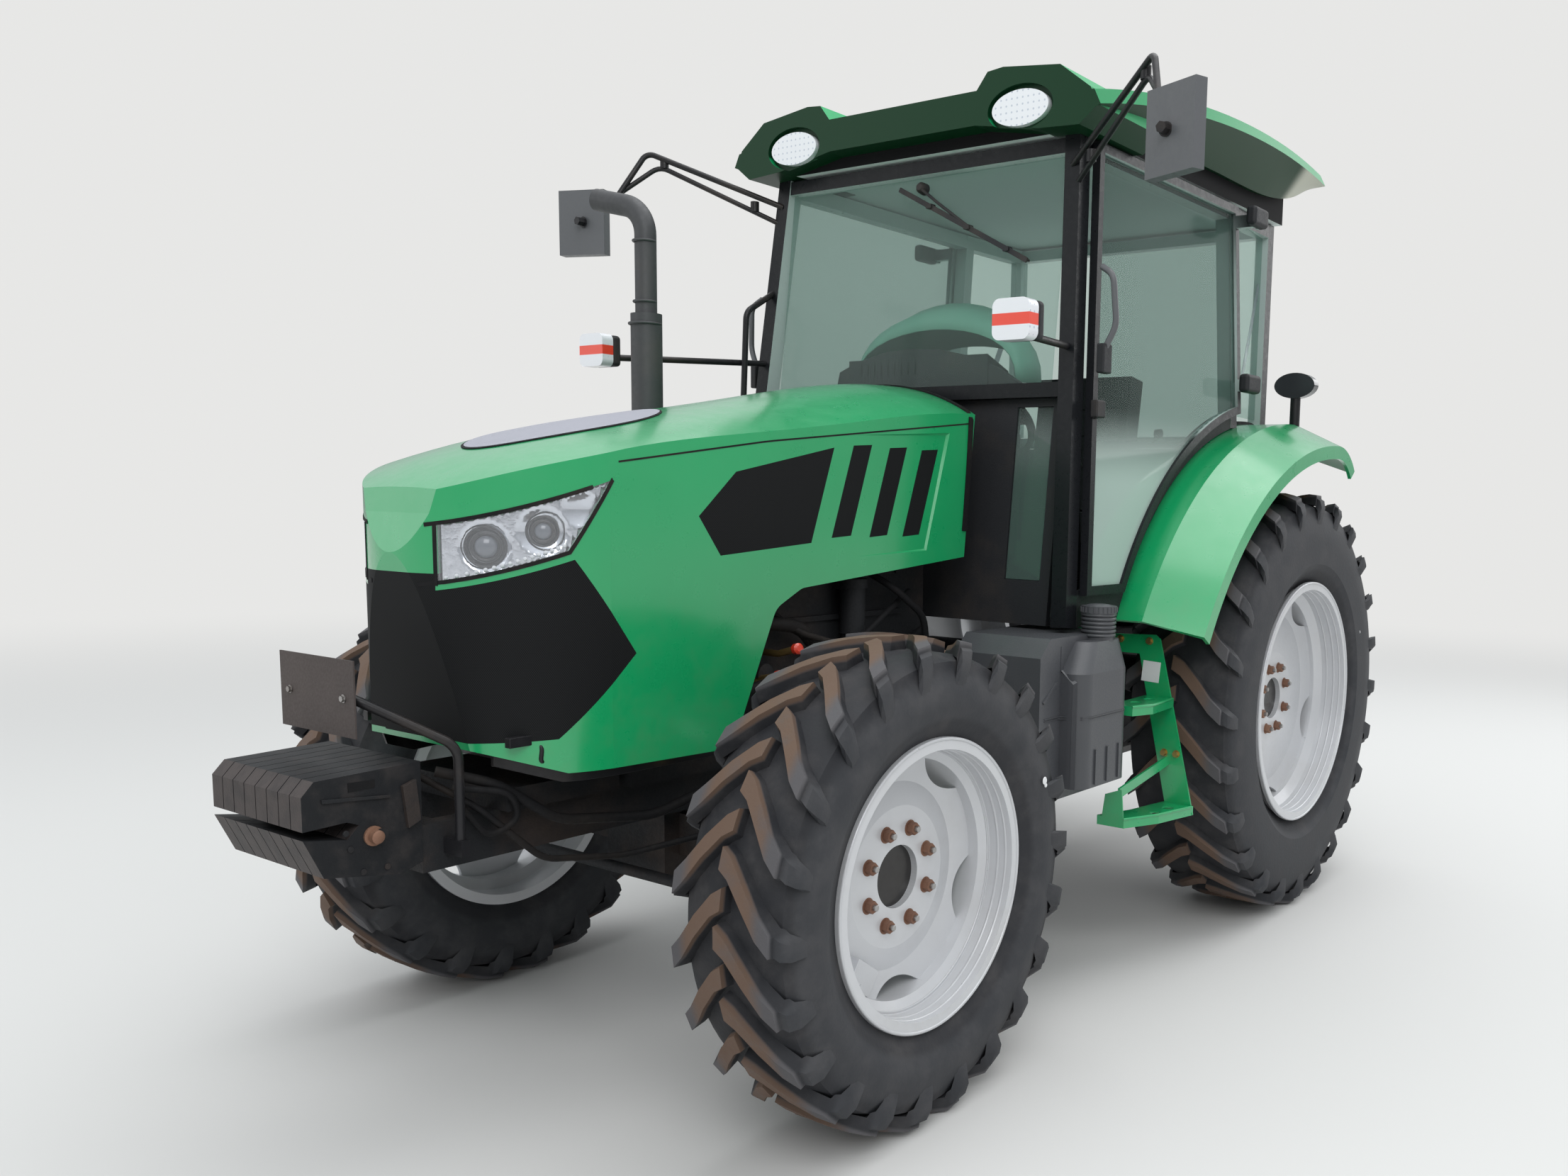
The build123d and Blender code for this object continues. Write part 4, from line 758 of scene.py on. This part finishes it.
def headlamp(name, side):
    """Chrome reflector sheet, projectors, and lower row of diodes behind the clear lens."""
    tree = skin_of("headlights")
    look_in = Vector((-0.66, -side * 0.75, 0)).normalized()
    up = Vector((0, 0, 1))
    across = up.cross(look_in).normalized() * side
    origin = at(3.27, side * 0.3, 1.6) - look_in * 0.8
    bowls = [(at(3.372, side * 0.285, 1.56), 0.062, 0.03), (at(3.262, side * 0.365, 1.6), 0.06, 0.024),
             (at(3.165, side * 0.395, 1.655), 0.045, 0.016)]

    def depth(u, v):
        sunk = SHEET_BACK + FLUTE_DEEP * sin(u * 2 * pi / FLUTE)
        for spot, size, deep in bowls:
            far = hypot(u - (spot - origin).dot(across), v - (spot - origin).dot(up)) / size
            if far < 1:
                sunk = SHEET_BACK + deep * (1 - far * far)
        return sunk

    bm = bmesh.new()
    grid = {}
    for i in range(COLUMNS + 1):
        u = -HALF_WIDE + 2 * HALF_WIDE * i / COLUMNS
        for j in range(ROWS + 1):
            v = -HALF_HIGH + 2 * HALF_HIGH * j / ROWS
            hit, normal, _, _ = tree.ray_cast(origin + across * u + up * v, look_in, 1.4)
            if hit and normal.dot(look_in) <= -0.12:
                grid[i, j] = bm.verts.new(hit + look_in * depth(u, v))
    for i, j in grid:
        corner = [grid.get((i + right, j + over)) for right, over in ((0, 0), (1, 0), (1, 1), (0, 1))]
        if all(corner):
            bm.faces.new(corner)
    for vert in [v for v in bm.verts if not v.link_faces]:
        bm.verts.remove(vert)
    piece(f"headlamp_reflector_{name}", bm, "chrome", 60, body="hood")

    dark, clear = bmesh.new(), bmesh.new()
    for (spot, _, deep), scale in zip(bowls, (1, 0.75)):
        seat = strike(tree, spot - look_in * 0.4, look_in) + look_in * (0.012 + deep * 0.45)
        ring(dark, seat, look_in, 0.034 * scale, 0.006 * scale, 36)
        ring(dark, seat - look_in * 0.004, look_in, 0.05 * scale, 0.0028 * scale, 36)
        dome(clear, seat, -look_in, 0.028 * scale, 0.014 * scale)
    piece(f"headlamp_rings_{name}", dark, "black", body="hood")
    piece(f"headlamp_projectors_{name}", clear, "bulb", body="hood")
    bm = bmesh.new()
    for k in range(16):
        share = k / 15
        hit = strike(tree, at(3.405 - 0.205 * share, side, 1.482 + 0.082 * share), (0, -side, 0))
        dome(bm, hit + look_in * 0.012, -look_in, 0.0055, 0.004, 10, 3)
    piece(f"headlamp_diodes_{name}", bm, "white", body="hood")


def hood_underside():
    """Black skirt below the nose, and the catches of the hood."""
    bm = bmesh.new()
    for side in BOTH:
        rings = []
        for k in range(15):
            x = 2.7 + 0.64 * k / 14
            hit = strike(hood_tree, at(x, side, 1.055 if x > 3.2 else 1), (0, -side, 0))
            if hit:
                low = 0.99 + max(0, x - 3.2) * 0.36
                top = Vector((hit.x, hit.y - side * 0.014, low + 0.02))
                foot = Vector((hit.x - 0.01, hit.y - side * 0.03, low - 0.035))
                back = Vector((0, -side * 0.01, 0))
                rings.append([top, foot, foot + back, top + back])
        skin(bm, rings)
        # catch and hook under the lip
        spot = strike(hood_tree, at(3.29, side, 1.075), (0, -side, 0))
        box_at(bm, spot - Vector((0.05, 0.012, 0.012)), spot + Vector((0.05, 0.01, 0.014)))
        hook = ((-0.03, 0.006, 0), (-0.035, 0.022, -0.02), (-0.03, 0.022, -0.055), (-0.055, 0.016, -0.06))
        tube(bm, [spot + Vector((x, side * y, z)) for x, y, z in hook], 0.006, 10, 0.01)
    piece("hood_skirt", bm, "black", 35, 0.002, body="hood")


hood_seams()
for name, side in SIDES.items():
    headlamp(name, side)
hood_underside()


# ---- engine bay and front end
# hoses and harness beside the engine and below the nose: (radius, bend, points)
HOSES = (
    (0.022, 0.06, ((2.82, 0.2, 1.3), (2.62, 0.33, 1.34), (2.3, 0.34, 1.3), (2.15, 0.3, 1.18))),
    (0.016, 0.05,
     ((2.9, 0.26, 1.14), (2.6, 0.36, 1.12), (2.2, 0.36, 1.18), (1.85, 0.33, 1.16), (1.62, 0.3, 1.24))),
    (0.01, 0.04,
     ((2.45, 0.26, 1.4), (2.32, 0.36, 1.28), (2.1, 0.38, 1.22), (1.9, 0.36, 1.32), (1.7, 0.3, 1.38))),
    (0.008, 0.03,
     ((2.05, 0.32, 1.26), (1.98, 0.38, 1.12), (1.8, 0.42, 1.08), (1.6, 0.42, 1.16), (1.5, 0.44, 1.23))),
    (0.012, 0.04, ((1.9, 0.26, 1.46), (1.86, 0.36, 1.4), (1.72, 0.38, 1.3), (1.66, 0.36, 1.12))),
    (0.014, 0.05,
     ((3.44, 0.16, 1), (3.32, 0.24, 0.96), (3.16, 0.27, 0.84), (2.86, 0.3, 0.8), (2.66, 0.34, 0.86))),
    (0.009, 0.04,
     ((3.46, 0.1, 0.99), (3.36, 0.22, 0.9), (3.2, 0.26, 0.74), (2.95, 0.28, 0.7), (2.62, 0.4, 0.74))),
    (0.009, 0.04,
     ((3.42, 0.2, 0.96), (3.3, 0.27, 0.94), (3.26, 0.25, 0.86), (3.34, 0.23, 0.82), (3.4, 0.22, 0.9))),
)
BLOCK_SIDE, RAIL_SIDE = 0.255, 0.268  # half widths of the engine block and over its rails


def bay_pipes():
    """Hoses, covers, rails, caps and unions of the engine bay."""
    bm = bmesh.new()
    for radius, bend, points in HOSES:
        for side in BOTH:
            tube(bm, [at(x, side * y, z) for x, y, z in points], radius, 10, bend)
    piece("bay_hoses", bm, "rubber", 50)

    bm = bmesh.new()
    for x, z, size in ((2.44, 1.16, 0.045), (2.3, 1.02, 0.06), (1.78, 1.1, 0.055), (2.62, 1.3, 0.05)):
        cover = [(0, size), (0.03, size), (0.035, size * 0.8), (0.075, size * 0.75), (0.08, size * 0.4)]
        for side in BOTH:
            turned(bm, at(x, side * BLOCK_SIDE, z), (0, side, 0), cover, 28)
    for side in BOTH:
        for z in (1.02, 1.3, 1.44):
            box_at(bm, at(1.7, side * BLOCK_SIDE, z), at(2.75, side * RAIL_SIDE, z + 0.018))
        for k in range(9):
            hex_head(bm, at(1.74 + 0.12 * k, side * RAIL_SIDE, 1.449), (0, side, 0), 0.016, 0.01)
    turned(bm, at(2.01, 0.305, 1.185), (0, 0, 1), [(0, 0.02), (0.012, 0.034), (0.07, 0.036)], 28)
    piece("engine_fittings", bm, "iron", 40, 0.0015)

    caps, unions = bmesh.new(), bmesh.new()
    cap = [(0, 0.017), (0.018, 0.017), (0.024, 0.01)]
    for x, *heights in ((2.385, 1.22, 1.22, 1.24), (2.463, 1.14, 1.15, 1.165)):
        turned(caps, at(x, 0.4, heights[-1]), (0.3, 1, 0.2), cap, 16)
        tube(unions, [at(x, y, z) for y, z in zip((BLOCK_SIDE, 0.33, 0.402), heights)], 0.011, 10)
    piece("bay_caps", caps, "red")
    for x, y, z in ((2.803, 0.45, 0.875), (2.79, 0.43, 0.86)):
        hex_head(unions, at(x, y, z), (0.5, 1, 0.3), 0.026, 0.022)
    tube(unions, [at(2.803, 0.45, 0.875), at(2.76, 0.4, 0.85), at(2.7, 0.33, 0.84)], 0.008, 10)
    piece("bay_unions", unions, "brass")


def front_fittings():
    """Pin, painted shade in the slots, and joint bars on the outer faces of the weights, and bolts of the
    blank plate.
    """
    _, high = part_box("front_weights")
    dark, iron, bolt = bmesh.new(), bmesh.new(), bmesh.new()
    slabs = (
        # thin dark sheet of painted shade where the slot is
        (dark, 0.0015, ((3.69, 1.018), (3.625, 1.016), (3.625, 0.998), (3.69, 0.996))),
        (iron, 0.006, ((3.755, 0.99), (3.59, 0.974), (3.59, 0.967), (3.755, 0.981))),
        (iron, 0.012, ((3.56, 0.99), (3.525, 1.002), (3.515, 0.9), (3.548, 0.885))),
    )
    pin = [(0, 0.024), (0.006, 0.024), (0.007, 0.017), (0.024, 0.016), (0.028, 0.01)]
    for side in BOTH:
        face = side * (high.y - 0.012)
        out = Vector((0, side, 0))
        for bm, thick, outline in slabs:
            slab(bm, [at(x, face, z) for x, z in outline], out * thick)
        turned(bolt, at(3.633, face, 0.882), out, pin, 24)
        for x, z in ((3.7, 0.9), (3.69, 0.86), (3.6, 0.8), (3.66, 0.8)):
            turned(iron, at(x, face, z), out, [(0, 0.008), (0.004, 0.007)], 14)
    # painted shade in the slots
    piece("weight_slot_shade", dark, "rubber")
    piece("weight_bars", iron, "iron", 35, 0.001)
    piece("weight_pins", bolt, "rust", 35)
    bm = bmesh.new()
    for y in (-0.12, 0.12):
        hex_head(bm, at(3.644, y, 1.203), (1, 0, 0), 0.014, 0.006)
    piece("plate_bolts", bm, "steel", 30)


bay_pipes()
front_fittings()


# ---- exhaust, tanks and steps
def exhaust_clamps():
    """Band clamps where the stack leaves the muffler and where it meets the elbow."""
    tree = skin_of("exhaust")
    low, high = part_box("exhaust")
    bm = bmesh.new()
    for z in (2.295, 2.372, 2.58):
        near, far = (strike(tree, ((low.x + high.x) / 2, 2 * y, z), (0, -y, 0)) for y in (1, -1))
        ring(bm, (near + far) / 2, (0, 0, 1), (near.y - far.y) / 2, 0.005, 40)
    piece("exhaust_clamps", bm, "pipe")


# lines on the outer face of a tank: start (x, z), step, points, width and thickness
TANK_LINES = (
    ((1.27, 0.985), (0.03, 0), 15, 0.0025, 0.003), ((1.27, 0.978), (0.03, 0), 15, 0.0025, 0.003),
    ((1.585, 0.74), (0, 0.04), 13, 0.016, 0.002),
    *(((x, 0.75), (0, 0.03), 5, 0.01, 0.006) for x in (1.34, 1.42, 1.5)),
    ((1.62, 1.1), (0.02, -0.015), 5, 0.008, 0.005),
)


def tank_details():
    """Moulding lines and ribs of the side tanks, and the ribbed filler."""
    tree = skin_of("side_tanks")
    bm = bmesh.new()
    for side in BOTH:
        for (x, z), (run, rise), count, wide, thick in TANK_LINES:
            starts = [at(x + run * k, side * 1.4, z + rise * k) for k in range(count)]
            seam(bm, tree, starts, (0, -side, 0), wide, thick)
    piece("tank_mouldings", bm, "tank", 35)
    bm = bmesh.new()
    neck = at(1.36, 0.868, 0)
    for k in range(6):
        ring(bm, neck + Vector((0, 0, 1.245 + 0.014 * k)), (0, 0, 1), 0.056, 0.006, 40)
    for k in range(24):
        a = 2 * pi * k / 24
        spot = neck + Vector((0.062 * cos(a), 0.062 * sin(a), 1.324))
        tube(bm, [spot, spot + Vector((0, 0, 0.018))], 0.0035, 6)
    dome(bm, neck + Vector((0, 0, 1.344)), (0, 0, 1), 0.05, 0.008)
    piece("filler_ribs", bm, "tank", 50)


def step_details():
    """Bolts, rolled edges and the blank label of the ladders."""
    bolts, label, edges = bmesh.new(), bmesh.new(), bmesh.new()
    tree = skin_of("steps")
    treads = ((0.59, ((0.01, 1.062), (0.2, 1.022), (0.345, 0.958))),
              (0.985, ((0.01, 0.966), (0.2, 0.984), (0.292, 0.95))))
    for side in BOTH:
        for y, z in ((0.939, 0.778), (0.989, 0.778), (0.6, 1.236), (0.7, 1.19), (0.74, 1.19),
                     (0.862, 1.19)):
            hit = strike(tree, at(2, side * y, z), (-1, 0, 0))
            if hit and hit.x < rear_x + 1:
                hex_head(bolts, hit, (1, 0, 0), 0.02, 0.012)
        x = strike(tree, at(2, side * 0.88, 1.08), (-1, 0, 0)).x
        corners = ((0.832, 1.04), (0.905, 1.036), (0.912, 1.113), (0.84, 1.117))
        slab(label, [Vector((x, side * y, z)) for y, z in corners], (0.0012, 0, 0))
        for top, outline in treads:
            path = [at(0.95 + run, side * (y - 0.003), top - 0.002) for run, y in outline]
            tube(edges, path, 0.006, 8)
    piece("step_bolts", bolts, "brass", 30)
    piece("step_labels", label, "white")
    piece("step_rims", edges, "green", 60)


exhaust_clamps()
tank_details()
step_details()


# ---- cab
def wiper():
    """Wiper with its motor, arm and blade ahead of the windscreen."""
    tree = skin_of("cab_glass")

    def off(y, z, lift):
        return lying(tree, at(3, y, z), (-1, 0, 0), lift)[0]

    bm = bmesh.new()
    pivot = off(0.02, 2.845, 0)
    turned(bm, pivot, (1, 0, 0.1), [(0, 0.022), (0.03, 0.02), (0.04, 0.012)], 24)
    tip = off(0.528, 2.533, 0.022)
    top = off(-0.069, 2.845, 0.022)
    middle = top.lerp(tip, 0.55)
    tube(bm, [pivot + Vector((0.03, 0, 0)), pivot.lerp(middle, 0.4) + Vector((0.028, 0, 0)),
              middle + Vector((0.018, 0, 0.004))], 0.006, 8)
    rise = Vector((1, 0, 0)).cross((tip - top).normalized()).normalized()
    for deep, half in ((0, 0.004), (0.014, 0.009)):
        a, b = top + Vector((deep, 0, 0)), tip + Vector((deep, 0, 0))
        slab(bm, [a - rise * half, b - rise * half, b + rise * half, a + rise * half], (0.008, 0, 0))
    for share in (0.25, 0.55, 0.85):
        spot = top.lerp(tip, share)
        box_at(bm, spot - Vector((0, 0.012, 0.008)), spot + Vector((0.03, 0.012, 0.008)))
    piece("wiper", bm, "plastic", 35, 0.001)


def cab_trim():
    """Painted highlight strips beside the windscreen, rubber strips and reflectors on the fenders, aerial
    foot.
    """
    glass, fender = skin_of("cab_glass"), skin_of("fenders")
    strips, seals, lights = bmesh.new(), bmesh.new(), bmesh.new()
    for side in BOTH:
        # pale strips of painted highlight along the sides of the windscreen
        starts = [at(3, side * (0.69 - 0.045 * k / 12), 2.13 + 0.74 * k / 12) for k in range(13)]
        seam(strips, glass, starts, (-1, 0, 0), 0.034, 0.002)
        starts = [at(1.08 - 0.04 * k, side * 0.668, 3) for k in range(40)]
        seam(seals, fender, starts, (0, 0, -1), 0.026, 0.016)
        spot = strike(fender, at(0.2, side * 0.72, 3), (0, 0, -1))
        box_at(lights, spot - Vector((0.035, 0.012, 0.004)), spot + Vector((0.035, 0.012, 0.024)))
    piece("windscreen_highlights", strips, "post_highlight")
    piece("fender_seals", seals, "rubber", 50)
    piece("reflectors", lights, "orange", 35, 0.002)

    bm = bmesh.new()
    spot = strike(skin_of("roof"), at(1.2, -0.03, 4), (0, 0, -1))
    dome(bm, spot, (0, 0, 1), 0.03, 0.022)
    tube(bm, [spot + Vector((0, 0, 0.018)), spot + Vector((-0.03, 0, 0.035))], 0.005, 8)
    piece("aerial_foot", bm, "plastic")


LOCK_Y = 0.81  # where a part of the lock stands over the glass


def door_fittings(name, side):
    """Hinge covers, handle, lock and gas strut of one door."""
    body = f"door_{name}"
    tree = skin_of(f"door_frame_{name}")
    bm = bmesh.new()
    for z in (2.2, 2.87):
        y = strike(tree, at(0.058, side * 2, z), (0, -side, 0)).y
        box_at(bm, at(0.045, y - side * 0.01, z - 0.038), at(0.185, y + side * 0.036, z + 0.038))
    piece(f"hinge_covers_{name}", bm, "plastic", 40, 0.016, 4, body)
    bm = bmesh.new()
    grip = ((1.29, 0.8, 2.5), (1.3, 0.85, 2.47), (1.29, 0.862, 2.3), (1.3, 0.812, 2.2))
    tube(bm, [at(x, side * y, z) for x, y, z in grip], 0.011, 12, 0.03)
    piece(f"door_grip_{name}", bm, "mirror", body=body)
    bm = bmesh.new()
    for z, high in ((2.19, 0.05), (2.02, 0.03)):
        hit = strike(tree, at(1.3, side * 2, z), (0, -side, 0))
        y = hit.y if hit else side * LOCK_Y
        box_at(bm, at(1.265, y - side * 0.004, z - high), at(1.325, y + side * 0.026, z + high))
    piece(f"door_lock_{name}", bm, "plastic", 40, 0.006, 3, body)
    bm = bmesh.new()
    foot, top = at(1.14, side * 0.775, 1.62), at(0.74, side * 0.755, 1.965)
    shoulder = foot.lerp(top, 0.62)
    tube(bm, [foot, shoulder], 0.011, 14)
    tube(bm, [shoulder, top], 0.005, 10)
    for spot in (foot, top):
        turned(bm, spot - Vector((0, side * 0.012, 0)), (0, side, 0), [(0, 0.017), (0.024, 0.017)], 18)
    for k in range(9):
        ring(bm, foot.lerp(top, 0.06 + 0.06 * k), top - foot, 0.0115, 0.002, 16, 6)
    piece(f"door_strut_{name}", bm, "black", body=body)


def mirror_trim(name, side):
    """Second tube of the mirror arm, its clamps, the glass of the mirror, and the marker's housing."""
    bm = bmesh.new()
    foot, knee = at(1.3, side * 0.7, 2.79), at(1.565, side * 1.1, 3.005)
    tube(bm, [foot, knee, at(1.755, side * 1.275, 2.815)], 0.01, 12, 0.04)
    for share in (0.2, 0.96):
        turned(bm, foot.lerp(knee, share), (0, 0, 1), [(0, 0.017), (0.04, 0.017)], 16)
    hex_head(bm, at(1.8, side * 1.285, 2.765), (1, 0, 0), 0.03, 0.03)
    piece(f"mirror_arm_{name}", bm, "black")
    tree = skin_of("mirror_heads")
    bm = bmesh.new()
    middle = at(1, side * 1.305, 2.76)
    hits = [strike(tree, middle + Vector((0, side * y, z)), (1, 0, 0))
            for y, z in ((-0.075, -0.1), (0.075, -0.1), (0.075, 0.1), (-0.075, 0.1))]
    slab(bm, [hit - Vector((0.001, 0, 0)) for hit in hits], (-0.002, 0, 0))
    piece(f"mirror_glass_{name}", bm, "chrome", 30)
    bm = bmesh.new()
    box_at(bm, at(1.962, side * 0.872, 2.168), at(2.004, side * 0.998, 2.282))
    piece(f"marker_housing_{name}", bm, "plastic", 40, 0.015, 4)


def cab_inside():
    """Dash cowl and its dark face, levers, console and seat details seen through the glass."""
    bm = bmesh.new()
    arch = ((-0.42, 2.06), (-0.387, 2.191), (-0.3, 2.225), (-0.17, 2.256), (-0.052, 2.266), (0.1, 2.258),
            (0.25, 2.226), (0.37, 2.18), (0.469, 2.123), (0.47, 2.06))
    slab(bm, [at(1.26, y, z) for y, z in arch], (0.022, 0, 0))
    piece("dash_face", bm, "plastic", 30, 0.003)
    bm = bmesh.new()
    box_at(bm, at(1.278, -0.28, 2.165), at(1.287, 0.02, 2.215))
    for k in range(9):
        box_at(bm, at(1.284, -0.27 + 0.033 * k, 2.168), at(1.29, -0.262 + 0.033 * k, 2.212))
    piece("dash_vent", bm, "rubber", 30)
    bm = bmesh.new()
    rings = []
    turns = [pi * k / 16 for k in range(17)]
    for x, high, grow in ((1.255, 0.215, 0.96), (1.22, 0.275, 1), (1.13, 0.325, 0.98), (1.04, 0.305, 0.9),
                          (0.99, 0.215, 0.8)):
        rings.append([at(x, 0.05 + 0.4 * grow * cos(a), 2.13 + high * grow * sin(a) ** 0.8) for a in turns])
    skin(bm, rings, closed=False, caps=False)
    made = piece("dash_cowl", bm, "mint", 60)
    made.modifiers.new("wall", "SOLIDIFY").thickness = 0.006

    bm = bmesh.new()
    for x, y, z, high in ((0.62, -0.36, 1.72, 0.3), (0.52, -0.4, 1.72, 0.26), (0.42, -0.42, 1.72, 0.24),
                          (0.7, 0.4, 1.29, 0.55), (0.3, -0.46, 1.72, 0.34)):
        foot = at(x, y, z)
        stem = [foot, foot + Vector((0.02, 0, high * 0.6)), foot + Vector((0.06, 0.01, high))]
        tube(bm, stem, 0.008, 10, 0.05)
        dome(bm, foot + Vector((0.06, 0.01, high - 0.005)), (0.2, 0, 1), 0.022, 0.035, 16)
    piece("levers", bm, "rubber")
    bm = bmesh.new()
    box_at(bm, at(0.05, -0.56, 1.3), at(0.8, -0.33, 1.74))
    piece("side_console", bm, "plastic", 40, 0.03, 4)
    bm = bmesh.new()
    for z in (1.86, 2, 2.12):
        seam(bm, skin_of("seat"), [at(3, -0.2 + 0.05 * k, z) for k in range(9)], (-1, 0, 0), 0.006, 0.003)
    piece("seat_seams", bm, "rubber", 50)


wiper()
cab_trim()
for name, side in SIDES.items():
    door_fittings(name, side)
    mirror_trim(name, side)
cab_inside()


# ---- floor, light and camera
FLOOR_R = 60
FADE = (5, 16)  # distances over which the floor turns into the backdrop
SKY = (0, 0.9, 0.32, 1.15)  # from these heights to these strengths of light
AIM = Vector((0.2, 0, 1.2))  # what the lamps look at
LAMPS = (("key", (6.5, 5.5, 7), 300, 5), ("fill", (7, -6, 4.5), 90, 6),
         ("top", (-1, 1, 9), 300, 7), ("back", (-8, 3, 5), 150, 5))


def stage():
    """Pale round floor that fades into the backdrop, and soft light from above."""
    scene = bpy.context.scene
    bm = bmesh.new()
    bmesh.ops.create_circle(bm, cap_ends=True, segments=96, radius=FLOOR_R)
    floor = placed("floor", bm)
    look = Look("pale_floor", (0.62, 0.62, 0.61), 0.7)
    fade = look.ramp(look.vector("LENGTH", look.place), *FADE)
    look.blend(fade, look.shader, look.add("Emission", Color=BACKDROP))
    finish_with(floor, look.mat)

    world = bpy.data.worlds.new("studio")
    scene.world = world
    world.use_nodes = True
    shades = Shades(world.node_tree)
    plain = world.node_tree.nodes["Background"]
    place = shades.add("TexCoord").outputs["Generated"]
    height = shades.add("SeparateXYZ", place).outputs["Z"]
    shades.feed(plain.inputs["Color"], (0.95, 0.98, 1))
    shades.feed(plain.inputs["Strength"], shades.add("MapRange", height, *SKY).outputs[0])
    rays = shades.add("LightPath")
    seen = shades.math("MAXIMUM", rays.outputs["Is Camera Ray"], rays.outputs["Is Transmission Ray"])
    shades.blend(seen, plain, shades.add("Background", Color=BACKDROP), "World Output")

    for name, place, power, size in LAMPS:
        lamp = bpy.data.lights.new(name, "AREA")
        lamp.energy = power
        lamp.size = size
        holder = bpy.data.objects.new(name, lamp)
        holder.location = place
        holder.rotation_mode = "QUATERNION"
        holder.rotation_quaternion = (AIM - Vector(place)).to_track_quat("-Z", "Y")
        scene.collection.objects.link(holder)
    scene.view_settings.view_transform = "Standard"


def camera():
    """Camera at the height of the hood, ahead and to the left."""
    lens = bpy.data.cameras.new("camera")
    lens.lens = 29.93
    lens.sensor_width = 36
    lens.shift_x = -0.124
    lens.shift_y = 0.0486
    holder = bpy.data.objects.new("camera", lens)
    bpy.context.scene.collection.objects.link(holder)
    forward = Vector((-0.81612, -0.56417, -0.12513)).normalized()
    level = forward.cross(Vector((0, 0, 1))).normalized()
    up = level.cross(forward)
    roll = radians(1.15)
    right = cos(roll) * level + sin(roll) * up
    top = cos(roll) * up - sin(roll) * level
    axes = [(*axis, 0) for axis in (right, top, -forward)]
    holder.matrix_world = Matrix(axes + [(4.048, 3.088, 1.7, 1)]).transposed()
    bpy.context.scene.camera = holder


stage()
camera()
